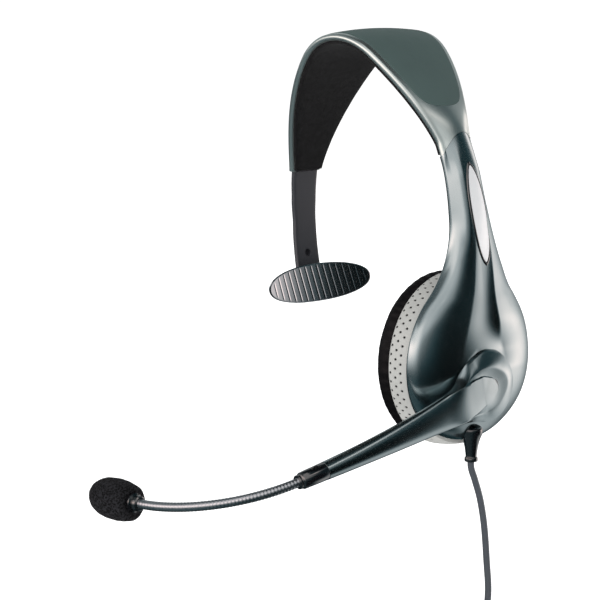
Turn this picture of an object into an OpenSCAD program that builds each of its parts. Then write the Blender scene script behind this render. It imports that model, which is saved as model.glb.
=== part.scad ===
// Mono office headset: headband, slider arm with temple pad, ear cup, boom microphone and cord.
// Millimetres, Z up. The wearer faces -Y, the ear cup is on +X and the temple pad on -X.
// The origin lies on the ear axis (Z = 0), in the plane of the band (Y = 0), midway across the head.

/* [Headband] */
// Height of the band's middle surface at the crown
crown_top = 110.5; // [104:0.5:118]
// Sideways place of the crown's centre
crown_x = -2.5; // [-4:0.5:0]
// Radius of the band at the crown
crown_r = 22.1; // [20:0.1:25]
// Radius of the band on the temple pad side
far_r = 85; // [80:1:92]
// Turn of the crown arc on the temple pad side, in degrees
far_turn = 50; // [47:0.5:52]
// Turn of the whole band on the temple pad side, in degrees
far_end_turn = 81.5; // [79:0.5:84]
// Radius of the band on the ear cup side
near_r = 86; // [82:1:92]
// Turn of the crown arc on the ear cup side, in degrees
near_turn = 41.5; // [39:0.5:43]
// Turn of the whole band on the ear cup side, in degrees
near_end_turn = 66.5; // [65:0.5:68]
// Half of the band's width at the crown
crown_half_w = 21.5; // [19:0.1:24]
// Half of the band's width at the slider arm
far_half_w = 7.4; // [7.2:0.1:8.5]
// Half of the band's width at the ear cup's neck
near_half_w = 8.2; // [7.6:0.1:9]
// Depth of the band inside its middle surface
band_in = 1.3; // [1.2:0.05:1.6]
// Depth of the band outside its middle surface, along its middle line
band_out = 2.5; // [2.4:0.1:3]
// Fall of the band's outer face from its middle line to its edges
band_fall = 1.2; // [0.8:0.1:1.6]
// Thickness of the dark top inlay
inlay_t = 0.8; // [0.6:0.05:0.9]
// Width of the silver rim beside the inlay
rim_w = 2.6; // [2:0.1:4]
// Arc length from the crown to the inlay's end, on each side
inlay_reach = 40; // [34:1:42]
// Thickness of the felt pad under the band
felt_t = 2.2; // [1.6:0.1:3]
// Inset of the felt pad from the band's edge
felt_inset = 1; // [0.6:0.1:2]
// Thickness of the steel leaf in the band
leaf_t = 0.5; // [0.4:0.05:0.6]
// Half of the steel leaf's width
leaf_half_w = 4; // [3:0.5:5]

/* [Slider arm] */
// Thickness of the slider arm
arm_t = 2; // [1.8:0.1:2.1]
// Width of the part of the arm that slides in the band
tongue_w = 12; // [11:0.2:12.2]
// Width of the arm's waist
waist_w = 9.6; // [8.5:0.2:11]
// Clearance round the arm in its channel
arm_gap = 0.2; // [0.15:0.05:0.3]
// Arc of the arm that is hidden in the band at rest, in degrees
tongue_arc = 13.5; // [12:0.5:14]
// Arc that the arm can travel into the band, in degrees
arm_in_arc = 14; // [10:0.5:14]
// Diameter of the small hole in the arm
arm_hole_d = 2.5; // [2:0.1:3]
// Height of that hole
arm_hole_z = 30.5; // [30:0.5:34]

/* [Temple pad] */
// Height of the pad's hinge
hinge_z = 19.5; // [18:0.5:21]
// Length of the temple pad
pad_len = 51.3; // [46:0.1:56]
// Height of the temple pad
pad_h = 14.3; // [13:0.1:16]
// Thickness of the rubber under the ribs
rubber_t = 1.3; // [1:0.1:1.6]
// Height of the ribs
rib_h = 0.9; // [0.6:0.1:1.2]
// Number of ribs
ribs = 16; // [12:1:18]
// Thickness of the pad's stiff back
carrier_t = 1.2; // [1:0.1:1.5]
// Radius of the arm's hinge barrel
barrel_r = 2.3; // [2.1:0.1:2.6]
// Width of the arm's hinge barrel
barrel_w = 5; // [4:0.2:6]
// Radius of the hinge pin
pin_r = 1; // [0.8:0.1:1.2]
// Thickness of each hinge ear of the pad's back
ear_t = 2.4; // [2:0.1:3]

/* [Ear cup] */
// Radius of the cup's rim
cup_r = 30.8; // [29.5:0.1:32]
// Height of the cup's dome over its rim
dome_h = 9.5; // [9:0.1:10.5]
// Depth of the neck outside the joint of the two halves
neck_front = 4.1; // [3.8:0.1:4.6]
// Depth of the neck inside the joint of the two halves
neck_back = 3.2; // [2.8:0.1:3.6]
// Half of the neck's width
neck_half_w = 8.4; // [8:0.1:9]
// Half of the neck's width at the band
neck_top_half_w = 7.8; // [7.4:0.1:8.2]
// Radius of the hollow between the cup and the neck
neck_fillet_r = 36; // [32:0.5:40]
// Wall of the outer shell
shell_wall = 2; // [1.6:0.1:2.2]
// Thickness of the inner cover
cover_t = 1; // [0.9:0.1:1.3]
// Diameter of the cover screws
screw_d = 2; // [1.8:0.1:2.2]

/* [Badge] */
// Distance from the neck's top down to the badge's middle
badge_drop = 24.8; // [23:0.1:26]
// Length of the badge
badge_len = 33; // [30:0.5:35]
// Width of the badge
badge_w = 8.6; // [7:0.1:9.5]
// Thickness of the badge
badge_t = 0.8; // [0.6:0.05:1]
// Width of the badge's black rim
bezel_w = 0.9; // [0.7:0.05:1.2]

/* [Ear cushion] */
// Radius of the cushion's side wall
cushion_r = 30.3; // [29:0.1:30.6]
// Thickness of the cushion's side wall, from the cover to the soft ring
cushion_t = 7.6; // [7:0.1:8.4]
// Radius of the soft ring's tube
soft_r = 5; // [4.6:0.1:5.2]
// Radius of the soft ring's middle line
soft_ring_r = 25.5; // [25.3:0.1:25.7]
// Number of gathers round the soft ring
gathers = 24; // [12:1:32]

/* [Speaker] */
// Radius of the speaker's basket
basket_r = 18.9; // [18:0.1:18.9]
// Radius of the speaker's magnet
magnet_r = 8; // [7:0.1:8.5]
// Thickness of the speaker's magnet
magnet_t = 2.2; // [1.8:0.1:2.4]
// Radius of one sound hole
sound_hole_r = 1.1; // [0.8:0.1:1.3]

/* [Boom] */
// Height of the boom's pivot
pivot_z = -8; // [-9:0.5:-7]
// Slope of the boom below the level, in degrees
boom_slope = 13.7; // [9:0.1:18]
// Radius of the boom's boss
boss_r = 12.8; // [12:0.1:13.5]
// Thickness of the boom's boss
boss_t = 3.8; // [3.6:0.1:4.6]
// Radius of the pivot shaft
shaft_r = 3; // [2.5:0.1:3.4]
// Running clearance between the shaft and its bushing
shaft_gap = 0.05; // [0.03:0.01:0.08]
// Length of the arm from the pivot to the collar
boom_len = 78; // [72:0.5:84]
// Angle by which the arm leans in at the collar, in degrees
boom_lean = 11; // [9:0.5:13]
// Half of the arm's width where it leaves the boss
arm_root_half = 7; // [6:0.1:8]
// Half of the arm's width at the collar
arm_tip_half = 3.1; // [2.8:0.1:3.6]
// Radius of the collar
collar_r = 3.25; // [3:0.05:3.8]
// Length of the collar
collar_len = 11; // [9:0.5:13]

/* [Gooseneck] */
// Radius of the gooseneck's ribs
goose_r = 1.6; // [1.4:0.05:1.8]
// Depth of the grooves between its ribs
goose_groove = 0.3; // [0.2:0.05:0.4]
// Radius of the bore for its wire
goose_bore_r = 0.7; // [0.5:0.05:0.8]
// Radius of the gooseneck's bend
bend_r = 42; // [40:0.5:46]
// Direction of the microphone, in degrees from straight ahead
mic_turn = 87; // [78:1:90]
// Number of ribs in each half of the gooseneck
goose_ribs = 24; // [16:2:30]

/* [Microphone] */
// Radius of the foam windscreen
foam_r = 6.7; // [6.4:0.1:7.5]
// Length of the foam windscreen
foam_len = 19; // [18:0.5:22]
// Radius of the microphone's housing
mic_r = 4.2; // [3.8:0.1:4.6]
// Length of the microphone's housing
mic_len = 12; // [10:0.5:13]
// Radius of the microphone's capsule
capsule_r = 3; // [2.6:0.1:3.2]

/* [Cord] */
// Diameter of the cord
cord_d = 2.4; // [2:0.1:2.4]
// Turns of the put-away coil
coil_turns = 15; // [12:1:16]
// Mean radius of the coil
coil_mean_r = 14; // [14:0.5:16]
// Step between the coil's turns, and between its layers
coil_step = 2.9; // [2.9:0.1:3.1]
// Width of the tie round the coil
tie_w = 4; // [3:0.5:6]
// Length of the plug's grip
grip_len = 22; // [20:0.5:26]

/* [Hidden] */
$fn = 64;

silver = "#c4cac8";
slate = "#7d8f93";
dark_green = "#4a5c5a";
dark = "#36373d";
black = "#17181a";
pale = "#d8d6d0";
steel = "#a9adb0";
brass = "#c9a44c";
board_green = "#2f6b45";

// A small cut past a face, so that no cut ends flush with it
over = 1;
// Clearance between pieces that lie in one another
fit = 0.05;

// Band: three arcs that meet without a kink, in the XZ plane
crown_c = [crown_x, crown_top - crown_r];
far_c = crown_c + (far_r - crown_r) * [sin(far_turn), -cos(far_turn)];
near_c = crown_c + (near_r - crown_r) * [-sin(near_turn), -cos(near_turn)];
far_len = (crown_r * far_turn + far_r * (far_end_turn - far_turn)) * PI / 180;
near_len = (crown_r * near_turn + near_r * (near_end_turn - near_turn)) * PI / 180;

// Joint of the ear cup's halves: flat over the cup, then along the band's arc up the neck
joint_x = near_c[0] + near_r;
neck_foot_z = near_c[1];
neck_top = neck_foot_z + near_r * (90 - near_end_turn) * PI / 180;
cover_back_x = joint_x - cover_t;
badge_z = neck_top - badge_drop;

// Cup outline: a circle, a hollow fillet and the neck
fillet_y = neck_half_w + neck_fillet_r;
fillet_z = sqrt(pow(cup_r + neck_fillet_r, 2) - pow(fillet_y, 2));
circle_end_z = fillet_z * cup_r / (cup_r + neck_fillet_r);
dome_end_z = 62;
cup_steps = 9;
neck_steps = 15;
cup_cols = 16;

// Ear cushion, from the cover towards the ear
wall_x = cover_back_x - cushion_t;
ring_t = 1.6;
ring_out_r = cushion_r - 1.3;
soft_x = wall_x - 0.75 * soft_r;
soft_segments = 48;
soft_sides = 12;
gather_depth = 0.3;

// Speaker, from the cover towards the ear
baffle_wall = 1.2;
baffle_r = basket_r + 0.2 + baffle_wall;
baffle_x = wall_x + 0.4;
screw_head_r = 0.9 * screw_d;
screw_ring_r = baffle_r + screw_head_r + 0.1;
ring_in_r = screw_ring_r + screw_head_r + 0.2;
mesh_t = 0.6;
basket_x = baffle_x + baffle_wall + fit;
basket_wall = 1.6;
basket_back_x = joint_x - 0.2;
yoke_x = basket_back_x + 1.6;
yoke_floor = 1;
yoke_r = magnet_r + 2;
top_plate_t = 1;
coil_gap_r = magnet_r + 0.5;
cone_t = 0.3;

// Boom pivot
seat_sink = 0.8;
seat_x = joint_x + dome_h - seat_sink;
seat_r = boss_r + 0.4;
washer_t = 0.25;
boss_x = seat_x + washer_t + fit;
bushing_r = shaft_r + 2;
bushing_len = 4.4;
bushing_x = seat_x - bushing_len;
clip_t = 0.8;
clip_x = bushing_x - fit - clip_t;
clip_r = shaft_r + 1.6;
groove_r = shaft_r - 0.6;
shaft_x = clip_x - 0.8;
shaft_in_boss = 2.6;

// Boom arm's middle line: straight from the boss, then one arc that leans in
boom_x = boss_x + 0.74 * boss_t;
lean_start = 10;
lean_r = (boom_len - lean_start) / sin(boom_lean);
arm_half_t = 2;
collar_start = [boom_x - lean_r * (1 - cos(boom_lean)), boom_len];
goose_start = collar_start + collar_len * [-sin(boom_lean), cos(boom_lean)];
goose_end_len = 2 * goose_r;
bend_turn = mic_turn - boom_lean;
mid_turn = boom_lean + bend_turn / 2;
bend_start = goose_start;
bend_end = bend_point(mic_turn);
neck_len = 4.6;
foam_start = 3;
capsule_seat = 6.4;

// Cord
cord_r = cord_d / 2;
relief_x = joint_x + 3.5;
relief_y = -1.6;
relief_top_z = -cup_r + 7.8;
relief_end_z = relief_top_z - 12;
relief_r = 3.3;
relief_tip_r = 1.9;
coil_c = [9, -12];
coil_low_z = -109.9;
coil_layers = 4;
loop_rings = 24;
layer_turns = coil_turns / coil_layers;
coil_in_r = coil_mean_r - layer_turns * coil_step / 2;
coil_out_r = coil_mean_r + layer_turns * coil_step / 2;
coil_top_z = coil_low_z + (coil_layers - 1) * coil_step;
tie_t = 0.8;
tie_gap = 0.3;
tie_turn = 215;
plug_x = -26;
plug_z = -108;
grip_y = -22;
grip_w = 16;
grip_h = 8;
cuff_len = 5;
cuff_r = 2.6;
plug_w = 12;
plug_h = 4.5;
plug_len = 19;
plug_wall = 0.4;
tongue_h = 1.8;

// Route of the hanging cord, from inside the strain relief to the coil
drop_route = [[relief_x, relief_y, relief_top_z - 1], [relief_x, relief_y, relief_top_z - 9],
    [relief_x, relief_y, relief_end_z - 2],
    [44.4, 0.8, -42], [42.6, 5.8, -50], [41, 10, -60.5], [39.5, 13.3, -74], [38.5, 15.5, -87],
    [36, 15.8, -98], [30, 12.8, -106.5], [22, 9.2, -109.6], [15, coil_c[1] + coil_out_r, coil_low_z],
    [coil_c[0], coil_c[1] + coil_out_r, coil_low_z]];
// Route of the cord's end, from the top of the coil into the plug
tail_route = [[coil_c[0], coil_c[1] + coil_out_r, coil_top_z], [4, coil_c[1] + coil_out_r, coil_top_z],
    [-5, 6.6, -102.4], [-14, 4.2, -105], [-21, -1, -107.2], [-25, -8, -108], [plug_x, -14, plug_z],
    [plug_x, -17, plug_z], [plug_x, grip_y + cuff_len - 3, plug_z]];

// Point of the band, s along its middle line from the crown (far side negative), n outwards from it
function far_turn_at(s) = s < crown_r * far_turn * PI / 180 ? s / crown_r * 180 / PI
    : far_turn + (s / far_r - crown_r * far_turn * PI / 180 / far_r) * 180 / PI;
function near_turn_at(s) = s < crown_r * near_turn * PI / 180 ? s / crown_r * 180 / PI
    : near_turn + (s / near_r - crown_r * near_turn * PI / 180 / near_r) * 180 / PI;
function arc_point(c, r, a) = [c[0] + r * sin(a), c[1] + r * cos(a)];
function far_point(a, n) = a < far_turn ? arc_point(crown_c, crown_r + n, -a)
    : arc_point(far_c, far_r + n, -a);
function near_point(a, n) = a < near_turn ? arc_point(crown_c, crown_r + n, a)
    : arc_point(near_c, near_r + n, a);
function band_point(s, n) = s < 0 ? far_point(far_turn_at(-s), n) : near_point(near_turn_at(s), n);
function taper(s, end, end_half) = end_half + (crown_half_w - end_half) * pow(cos(90 * min(1, s / end)), 1.2);
function band_half(s) = s < 0 ? taper(-s, far_len, far_half_w) : taper(s, near_len, near_half_w);
function band_top(v) = band_out - band_fall * v * v;
function band_ring(s, section) = [for (p = section) let (q = band_point(s, p[1])) [q[0], p[0], q[1]]];
function steps(a, b, n) = [for (i = [0:n]) a + (b - a) * i / n];

// Faces of a closed tube of rings, with its two ends filled by fans
function tube_faces(rings, sides) = concat(
    [for (i = [0:rings - 2], j = [0:sides - 1]) let (a = i * sides + j, b = i * sides + (j + 1) % sides)
        [a, b, b + sides]],
    [for (i = [0:rings - 2], j = [0:sides - 1]) let (a = i * sides + j, b = i * sides + (j + 1) % sides)
        [a, b + sides, a + sides]],
    [for (j = [1:sides - 2]) [0, j + 1, j]],
    [for (j = [1:sides - 2]) let (o = (rings - 1) * sides) [o, o + j, o + j + 1]]);
function flat(list) = [for (a = list, b = a) b];
function quad(a, b, c, d) = [[a, b, c], [a, c, d]];

// Ear cup surface: z is the height over the cup, and the length along the joint's arc up the neck
function cup_point(z, n, y) = z < neck_foot_z ? [joint_x + n, y, z]
    : let (q = arc_point(near_c, near_r + n, 90 - (z - neck_foot_z) * 180 / PI / near_r)) [q[0], y, q[1]];
function cup_half(z) = z < circle_end_z ? sqrt(max(0, cup_r * cup_r - z * z))
    : z < fillet_z ? fillet_y - sqrt(pow(neck_fillet_r, 2) - pow(z - fillet_z, 2))
    : neck_half_w + (neck_top_half_w - neck_half_w) * (z - fillet_z) / (neck_top - fillet_z);
function ease(t) = t <= 0 ? 0 : t >= 1 ? 1 : t * t * (3 - 2 * t);
function dome_at(z) = z < 0 ? dome_h * sqrt(max(0, 1 - z * z / cup_r / cup_r))
    : dome_h + (neck_front - dome_h) * ease(z / dome_end_z);
function dome_over(y, z) = dome_at(z) * sqrt(max(0, 1 - pow(y / cup_half(z), 2)));
function back_at(z) = (neck_back - cover_t) * ease((z - cushion_r) / (fillet_z - cushion_r));
cup_levels = concat([for (i = [1:cup_steps]) -cup_r * cos(90 * i / cup_steps)],
    [for (i = [1:neck_steps]) neck_top * i / neck_steps]);

// Boom: points in its own frame, x across and u along the boom
function lean_at(u) = u < lean_start ? 0 : asin((u - lean_start) / lean_r);
function arm_x(u) = boom_x - lean_r * (1 - cos(lean_at(u)));
function bend_point(a) = bend_start + bend_r * [cos(a) - cos(boom_lean), sin(a) - sin(boom_lean)];

// Swept tube: rings square to a route's own direction
function unit(v) = v / norm(v);
function route_dir(p, i) = unit(p[min(i + 1, len(p) - 1)] - p[max(i - 1, 0)]);
function side_of(d) = unit(abs(d[2]) > 0.9 ? cross(d, [0, 1, 0]) : cross(d, [0, 0, 1]));
function sweep_ring(c, d, side, r, sides) = [for (j = [0:sides - 1]) let (a = 360 * j / sides)
    c + r * (cos(a) * side + sin(a) * cross(side, d))];
// The side direction is carried along, so that the tube does not twist
function all_sides(p) = [for (i = 0, s = side_of(route_dir(p, 0)); i < len(p); i = i + 1,
    s = i < len(p) ? let (d = route_dir(p, i)) unit(s - (s * d) * d) : s) s];
function swept(p, r, sides) = let (s = all_sides(p))
    flat([for (i = [0:len(p) - 1]) sweep_ring(p[i], route_dir(p, i), s[i], r, sides)]);

// Smooth curve through a route's points
function spline(a, b, c, d, t) = 0.5 * (2 * b + (c - a) * t + (2 * a - 5 * b + 4 * c - d) * t * t
    + (3 * b - a - 3 * c + d) * t * t * t);
function smooth(p, n) = concat([for (i = [0:len(p) - 2], k = [0:n - 1])
    spline(p[max(0, i - 1)], p[i], p[i + 1], p[min(len(p) - 1, i + 2)], k / n)], [p[len(p) - 1]]);

// Coil: radius runs in and out again, and the cord climbs a layer in the half turn at each reversal
function coil_wave(t) = abs((t / layer_turns) % 2 - 1);
function coil_climb(t) = let (k = round(t / layer_turns), d = t - k * layer_turns)
    k == 0 || k == coil_layers ? floor(t / layer_turns + 0.5) == 0 ? 0 : coil_layers - 1
    : k - 1 + min(1, max(0, 2 * d + 0.5));
function coil_point(t) = let (r = coil_in_r + (coil_out_r - coil_in_r) * coil_wave(t), a = 90 + 360 * t)
    [coil_c[0] + r * cos(a), coil_c[1] + r * sin(a), coil_low_z + coil_step * coil_climb(t)];
coil_route = [for (i = [0:coil_turns * loop_rings]) coil_point(i / loop_rings)];
coil_gap = min([for (i = [0:len(coil_route) - 1], j = [i + loop_rings / 2:len(coil_route) - 1])
    norm(coil_route[i] - coil_route[j])]) - cord_d;
echo(coil_gap = coil_gap);

// Turned piece on the X axis, from a profile of [x, radius] points
module turned(profile) {
    rotate([0, 90, 0]) rotate_extrude() polygon([for (p = profile) [p[1], p[0]]]);
}

// Disc or ring on the X axis
module disc(x0, x1, r, hole = 0) {
    translate([x0, 0, 0]) rotate([0, 90, 0]) difference() {
        cylinder(r = r, h = x1 - x0);
        if (hole > 0) translate([0, 0, -over]) cylinder(r = hole, h = x1 - x0 + 2 * over);
    }
}

// Rod on the Y axis
module rod_y(r, y0, y1) {
    translate([0, y0, 0]) rotate([-90, 0, 0]) cylinder(r = r, h = y1 - y0);
}

// Strip that follows one of the band's arcs, from angle a0 to a1 as measured from +X towards +Z
module arc_strip(c, r, n0, n1, half, a0, a1) {
    translate([c[0], 0, c[1]]) rotate([90, 0, 0])
        rotate_extrude(angle = a1 - a0, start = a0) translate([r + n0, -half]) square([n1 - n0, 2 * half]);
}

// Band piece: one section carried along the band
module band_loft(rings) {
    last = len(rings) - 1;
    polyhedron(flat([for (i = [last:-1:0]) rings[i]]), tube_faces(last + 1, len(rings[0])));
}

module place_boom() {
    translate([0, 0, pivot_z]) rotate([boom_slope, 0, 0]) children();
}

// Piece turned on the collar's or the microphone's axis: its own +X points along the boom
module place_on_boom(p, turn) {
    place_boom() translate([p[0], -p[1], 0]) rotate([0, 0, -90 - turn]) children();
}

// Headband

module inlay_solid(top) {
    rings = [for (s = steps(-inlay_reach, inlay_reach, 20))
        let (h = (band_half(s) - rim_w) * sqrt(1 - 0.75 * pow(abs(s) / inlay_reach, 14)))
        band_ring(s, [for (v = steps(-1, 1, 4)) [v * h, band_top(v * h / band_half(s)) - inlay_t]])];
    tops = [for (s = steps(-inlay_reach, inlay_reach, 20))
        let (h = (band_half(s) - rim_w) * sqrt(1 - 0.75 * pow(abs(s) / inlay_reach, 14)))
        band_ring(s, [for (v = steps(1, -1, 4)) [v * h, band_top(v * h / band_half(s)) + top]])];
    band_loft([for (i = [0:len(rings) - 1]) concat(rings[i], tops[i])]);
}

module headband_shell() {
    channel_top = arm_t / 2 + arm_gap;
    color(silver) difference() {
        band_loft([for (s = band_stops)
            let (h = band_half(s)) band_ring(s, [[-h, -band_in], [h, -band_in], [h, band_top(1) - 0.8],
                [h - 0.8, band_top(1)], [0.6 * h, band_top(0.6)], [0.2 * h, band_top(0.2)],
                [-0.2 * h, band_top(0.2)], [-0.6 * h, band_top(0.6)], [-h + 0.8, band_top(1)],
                [-h, band_top(1) - 0.8]])]);
        inlay_solid(over);
        // Channel for the slider arm, open towards the felt pad
        arc_strip(far_c, far_r, -band_in - over, channel_top, tongue_w / 2 + arm_gap,
            180 - channel_end, 180 - far_end_el + 3);
        // Seat of the spring that holds the arm
        arc_strip(far_c, far_r, channel_top - over, channel_top + detent_t, detent_half_w,
            180 - detent_el1, 180 - detent_el0);
        // Seat of the steel leaf
        leaf_strip(leaf_half_w + fit, -band_in - over, 0);
    }
}

band_stops = concat(steps(-far_len, 0, 14), [for (i = [1:12]) near_len * i / 12]);
far_end_el = 90 - far_end_turn;
channel_end = far_end_el + tongue_arc + arm_in_arc + 0.5;
detent_t = 0.3;
detent_half_w = 2;
detent_el0 = far_end_el + 2;
detent_el1 = far_end_el + 10;
leaf_in_neck = 8;

// Steel leaf from above the channel, over the crown and down into the neck, or the seat cut for it
leaf_stops = steps(-crown_r * far_turn * PI / 180, near_len + leaf_in_neck, 40);
module leaf_strip(half, lo, hi) {
    rotate([90, 0, 0]) linear_extrude(2 * half, center = true)
        polygon(concat([for (s = leaf_stops) band_point(s, hi)],
            [for (i = [len(leaf_stops) - 1:-1:0]) band_point(leaf_stops[i], lo)]));
}

module headband_inlay() {
    color(dark_green) inlay_solid(0);
}

module headband_pad() {
    color(black) band_loft([for (stop = band_stops)
        let (s = max(-far_len + felt_inset, min(near_len - felt_inset, stop)), h = band_half(s) - felt_inset,
            hi = -band_in - fit, lo = -band_in - felt_t)
        band_ring(s, [[-h, hi - 0.6 * felt_t], [-h + 1.2, lo], [h - 1.2, lo], [h, hi - 0.6 * felt_t],
            [h, hi], [-h, hi]])]);
}

module band_spring() {
    color(steel) leaf_strip(leaf_half_w, -leaf_t, 0);
}

module detent_spring() {
    channel_top = arm_t / 2 + arm_gap;
    color(steel) arc_strip(far_c, far_r, channel_top, channel_top + detent_t, detent_half_w - fit,
        180 - detent_el1 + 0.1, 180 - detent_el0 - 0.1);
}

// Ear cup

module outer_shell() {
    n = cup_cols + 1;
    top = len(cup_levels) - 1;
    outer = [for (z = cup_levels, j = [0:cup_cols]) let (a = 180 * j / cup_cols)
        cup_point(z, dome_at(z) * sin(a), cup_half(z) * cos(a))];
    inner = [for (z0 = cup_levels, j = [0:cup_cols])
        let (a = 180 * j / cup_cols, z = z0 + shell_wall * (neck_top - z0) / (neck_top + cup_r))
        cup_point(z, inner_dome(z) * sin(a), inner_half(z) * cos(a))];
    poles = [[joint_x, 0, -cup_r], [joint_x, 0, -cup_r + shell_wall]];
    k = len(outer);
    po = 2 * k;
    pi = 2 * k + 1;
    skin = [for (i = [0:top - 1], j = [0:cup_cols - 1]) let (a = i * n + j)
        each quad(a, a + 1, a + n + 1, a + n)];
    lining = [for (i = [0:top - 1], j = [0:cup_cols - 1]) let (a = k + i * n + j)
        each quad(a, a + n, a + n + 1, a + 1)];
    rim = [for (i = [0:top - 1]) let (a = i * n, b = i * n + cup_cols)
        each concat(quad(a, a + n, k + a + n, k + a), quad(k + b, k + b + n, b + n, b))];
    crown = [for (j = [0:cup_cols - 1]) let (a = top * n + j) each quad(k + a, a, a + 1, k + a + 1)];
    foot = concat([for (j = [0:cup_cols - 1]) [j, po, j + 1]],
        [for (j = [0:cup_cols - 1]) [k + j, k + j + 1, pi]],
        quad(po, 0, k, pi), quad(pi, k + cup_cols, cup_cols, po));
    color(slate) difference() {
        union() {
            polyhedron(concat(outer, inner, poles), concat(skin, lining, rim, crown, foot));
            translate([0, 0, pivot_z]) {
                disc(seat_x - 2.4, seat_x, seat_r);
                disc(bushing_x, seat_x - 1, bushing_r + 1.6);
            }
            for (p = screw_places) translate([0, p[0], p[1]])
                disc(joint_x, joint_x + dome_over(p[0], p[1]) - shell_wall / 2, screw_d / 2 + 1.4);
        }
        translate([0, 0, pivot_z]) {
            disc(bushing_x - over, seat_x + over, bushing_r);
            disc(seat_x, seat_x + seat_sink + over, seat_r);
        }
        for (p = screw_places) translate([0, p[0], p[1]])
            disc(joint_x - over, joint_x + dome_over(p[0], p[1]) - shell_wall, screw_d / 2);
        badge_patch(badge_w / 2 + fit, badge_len / 2 + fit, -badge_t, 3);
        translate([relief_x, relief_y, relief_end_z]) cylinder(r = relief_r + fit, h = relief_top_z - relief_end_z);
    }
}

function inner_half(z) = z < circle_end_z ? cup_half_in(z) : cup_half(z) - shell_wall;
function cup_half_in(z) = sqrt(max(0, pow(cup_r - shell_wall, 2) - z * z));
function inner_dome(z) = z < 0 ? (dome_h - shell_wall) * sqrt(max(0, 1 - pow(z / (cup_r - shell_wall), 2)))
    : dome_at(z) - shell_wall;
screw_side_y = screw_ring_r * cos(30);
screw_side_z = -screw_ring_r * sin(30);
screw_places = [[screw_side_y, screw_side_z], [-screw_side_y, screw_side_z]];

module inner_cover() {
    n = cup_cols + 1;
    top = len(cup_levels) - 1;
    front = [for (z = cup_levels, j = [0:cup_cols]) cup_point(z, 0, cup_half(z) * cos(180 * j / cup_cols))];
    back = [for (z = cup_levels, j = [0:cup_cols]) let (a = 180 * j / cup_cols)
        cup_point(z, -cover_t - back_at(z) * sin(a), cup_half(z) * cos(a))];
    poles = [[joint_x, 0, -cup_r], [cover_back_x, 0, -cup_r]];
    k = len(front);
    pf = 2 * k;
    pb = 2 * k + 1;
    faces = concat(
        [for (i = [0:top - 1], j = [0:cup_cols - 1]) let (a = i * n + j) each quad(a, a + 1, a + n + 1, a + n)],
        [for (i = [0:top - 1], j = [0:cup_cols - 1]) let (a = k + i * n + j)
            each quad(a, a + n, a + n + 1, a + 1)],
        [for (i = [0:top - 1]) let (a = i * n, b = i * n + cup_cols)
            each concat(quad(a, a + n, k + a + n, k + a), quad(k + b, k + b + n, b + n, b))],
        [for (j = [0:cup_cols - 1]) let (a = top * n + j) each quad(k + a, a, a + 1, k + a + 1)],
        [for (j = [0:cup_cols - 1]) [j, pf, j + 1]],
        [for (j = [0:cup_cols - 1]) [k + j, k + j + 1, pb]],
        quad(pf, 0, k, pb), quad(pb, k + cup_cols, cup_cols, pf));
    color(slate) difference() {
        polyhedron(concat(front, back, poles), faces);
        disc(cover_back_x - over, joint_x + over, basket_r + fit);
        for (p = screw_places) translate([0, p[0], p[1]])
            disc(cover_back_x - over, joint_x + over, screw_d / 2 + 0.1);
        leaf_strip(leaf_half_w + fit, -leaf_t, over);
    }
}

// Half-width of the lens-shaped badge, t from -1 at its foot to 1 at its tip
function lens(t, half_w) = max(0.06, 1 - t * t) * half_w;
function badge_point(y, z, n) = cup_point(z, dome_over(y, z) + n, y);

// Slab of the badge's outline, following the shell's surface between two depths
module badge_patch(half_w, half_len, lo, hi) {
    rows = 14;
    cols = 4;
    band_loft([for (i = [0:rows]) let (t = 2 * i / rows - 1, z = badge_z + half_len * t, w = lens(t, half_w))
        concat([for (v = steps(-1, 1, cols)) badge_point(v * w, z, hi)],
            [for (v = steps(1, -1, cols)) badge_point(v * w, z, lo)])]);
}

module badge_bezel() {
    rows = 14;
    function edge(half_w, half_len) = [for (side = [1, -1], i = [0:rows]) let (t = side * (2 * i / rows - 1))
        [side * lens(t, half_w), badge_z + half_len * t]];
    outer = edge(badge_w / 2, badge_len / 2);
    inner = edge(badge_w / 2 - bezel_w, badge_len / 2 - 2 * bezel_w);
    n = len(outer);
    points = [for (i = [0:n - 1]) each [badge_point(outer[i][0], outer[i][1], -badge_t),
        badge_point(outer[i][0], outer[i][1], 0.1), badge_point(inner[i][0], inner[i][1], 0.1),
        badge_point(inner[i][0], inner[i][1], -badge_t)]];
    color(black) polyhedron(points, [for (i = [0:n - 1], j = [0:3])
        let (a = 4 * i + j, b = 4 * i + (j + 1) % 4, c = 4 * ((i + 1) % n) + j, d = 4 * ((i + 1) % n) + (j + 1) % 4)
        each quad(a, b, d, c)]);
}

module badge_plate() {
    color(silver) badge_patch(badge_w / 2 - bezel_w - fit, badge_len / 2 - 2 * bezel_w - fit,
        -badge_t + 2 * fit, 0.2);
}

module cover_screws() {
    head_t = 1.2;
    color(steel) for (p = screw_places) translate([0, p[0], p[1]]) union() {
        disc(cover_back_x - head_t, cover_back_x, screw_head_r);
        disc(cover_back_x, joint_x + dome_over(p[0], p[1]) - shell_wall - 0.6, screw_d / 2 - fit);
    }
}

module terminal_board() {
    board = [1, 12, 8];
    color(board_green) translate([joint_x, -board[1] / 2, basket_r + 1.6]) cube(board);
}

// Speaker

module speaker_baffle() {
    color(black) difference() {
        disc(baffle_x, cover_back_x, baffle_r);
        disc(baffle_x + baffle_wall, cover_back_x + over, baffle_r - baffle_wall);
        disc(baffle_x - over, baffle_x + baffle_wall + over, sound_hole_r);
        for (ring = [[5, 6], [10, 12], [15, 18]], i = [1:ring[1]]) rotate([360 * i / ring[1], 0, 0])
            translate([0, ring[0], 0]) disc(baffle_x - over, baffle_x + baffle_wall + over, sound_hole_r);
    }
}

module acoustic_mesh() {
    color(dark) disc(baffle_x - mesh_t, baffle_x, baffle_r - 0.6);
}

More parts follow.
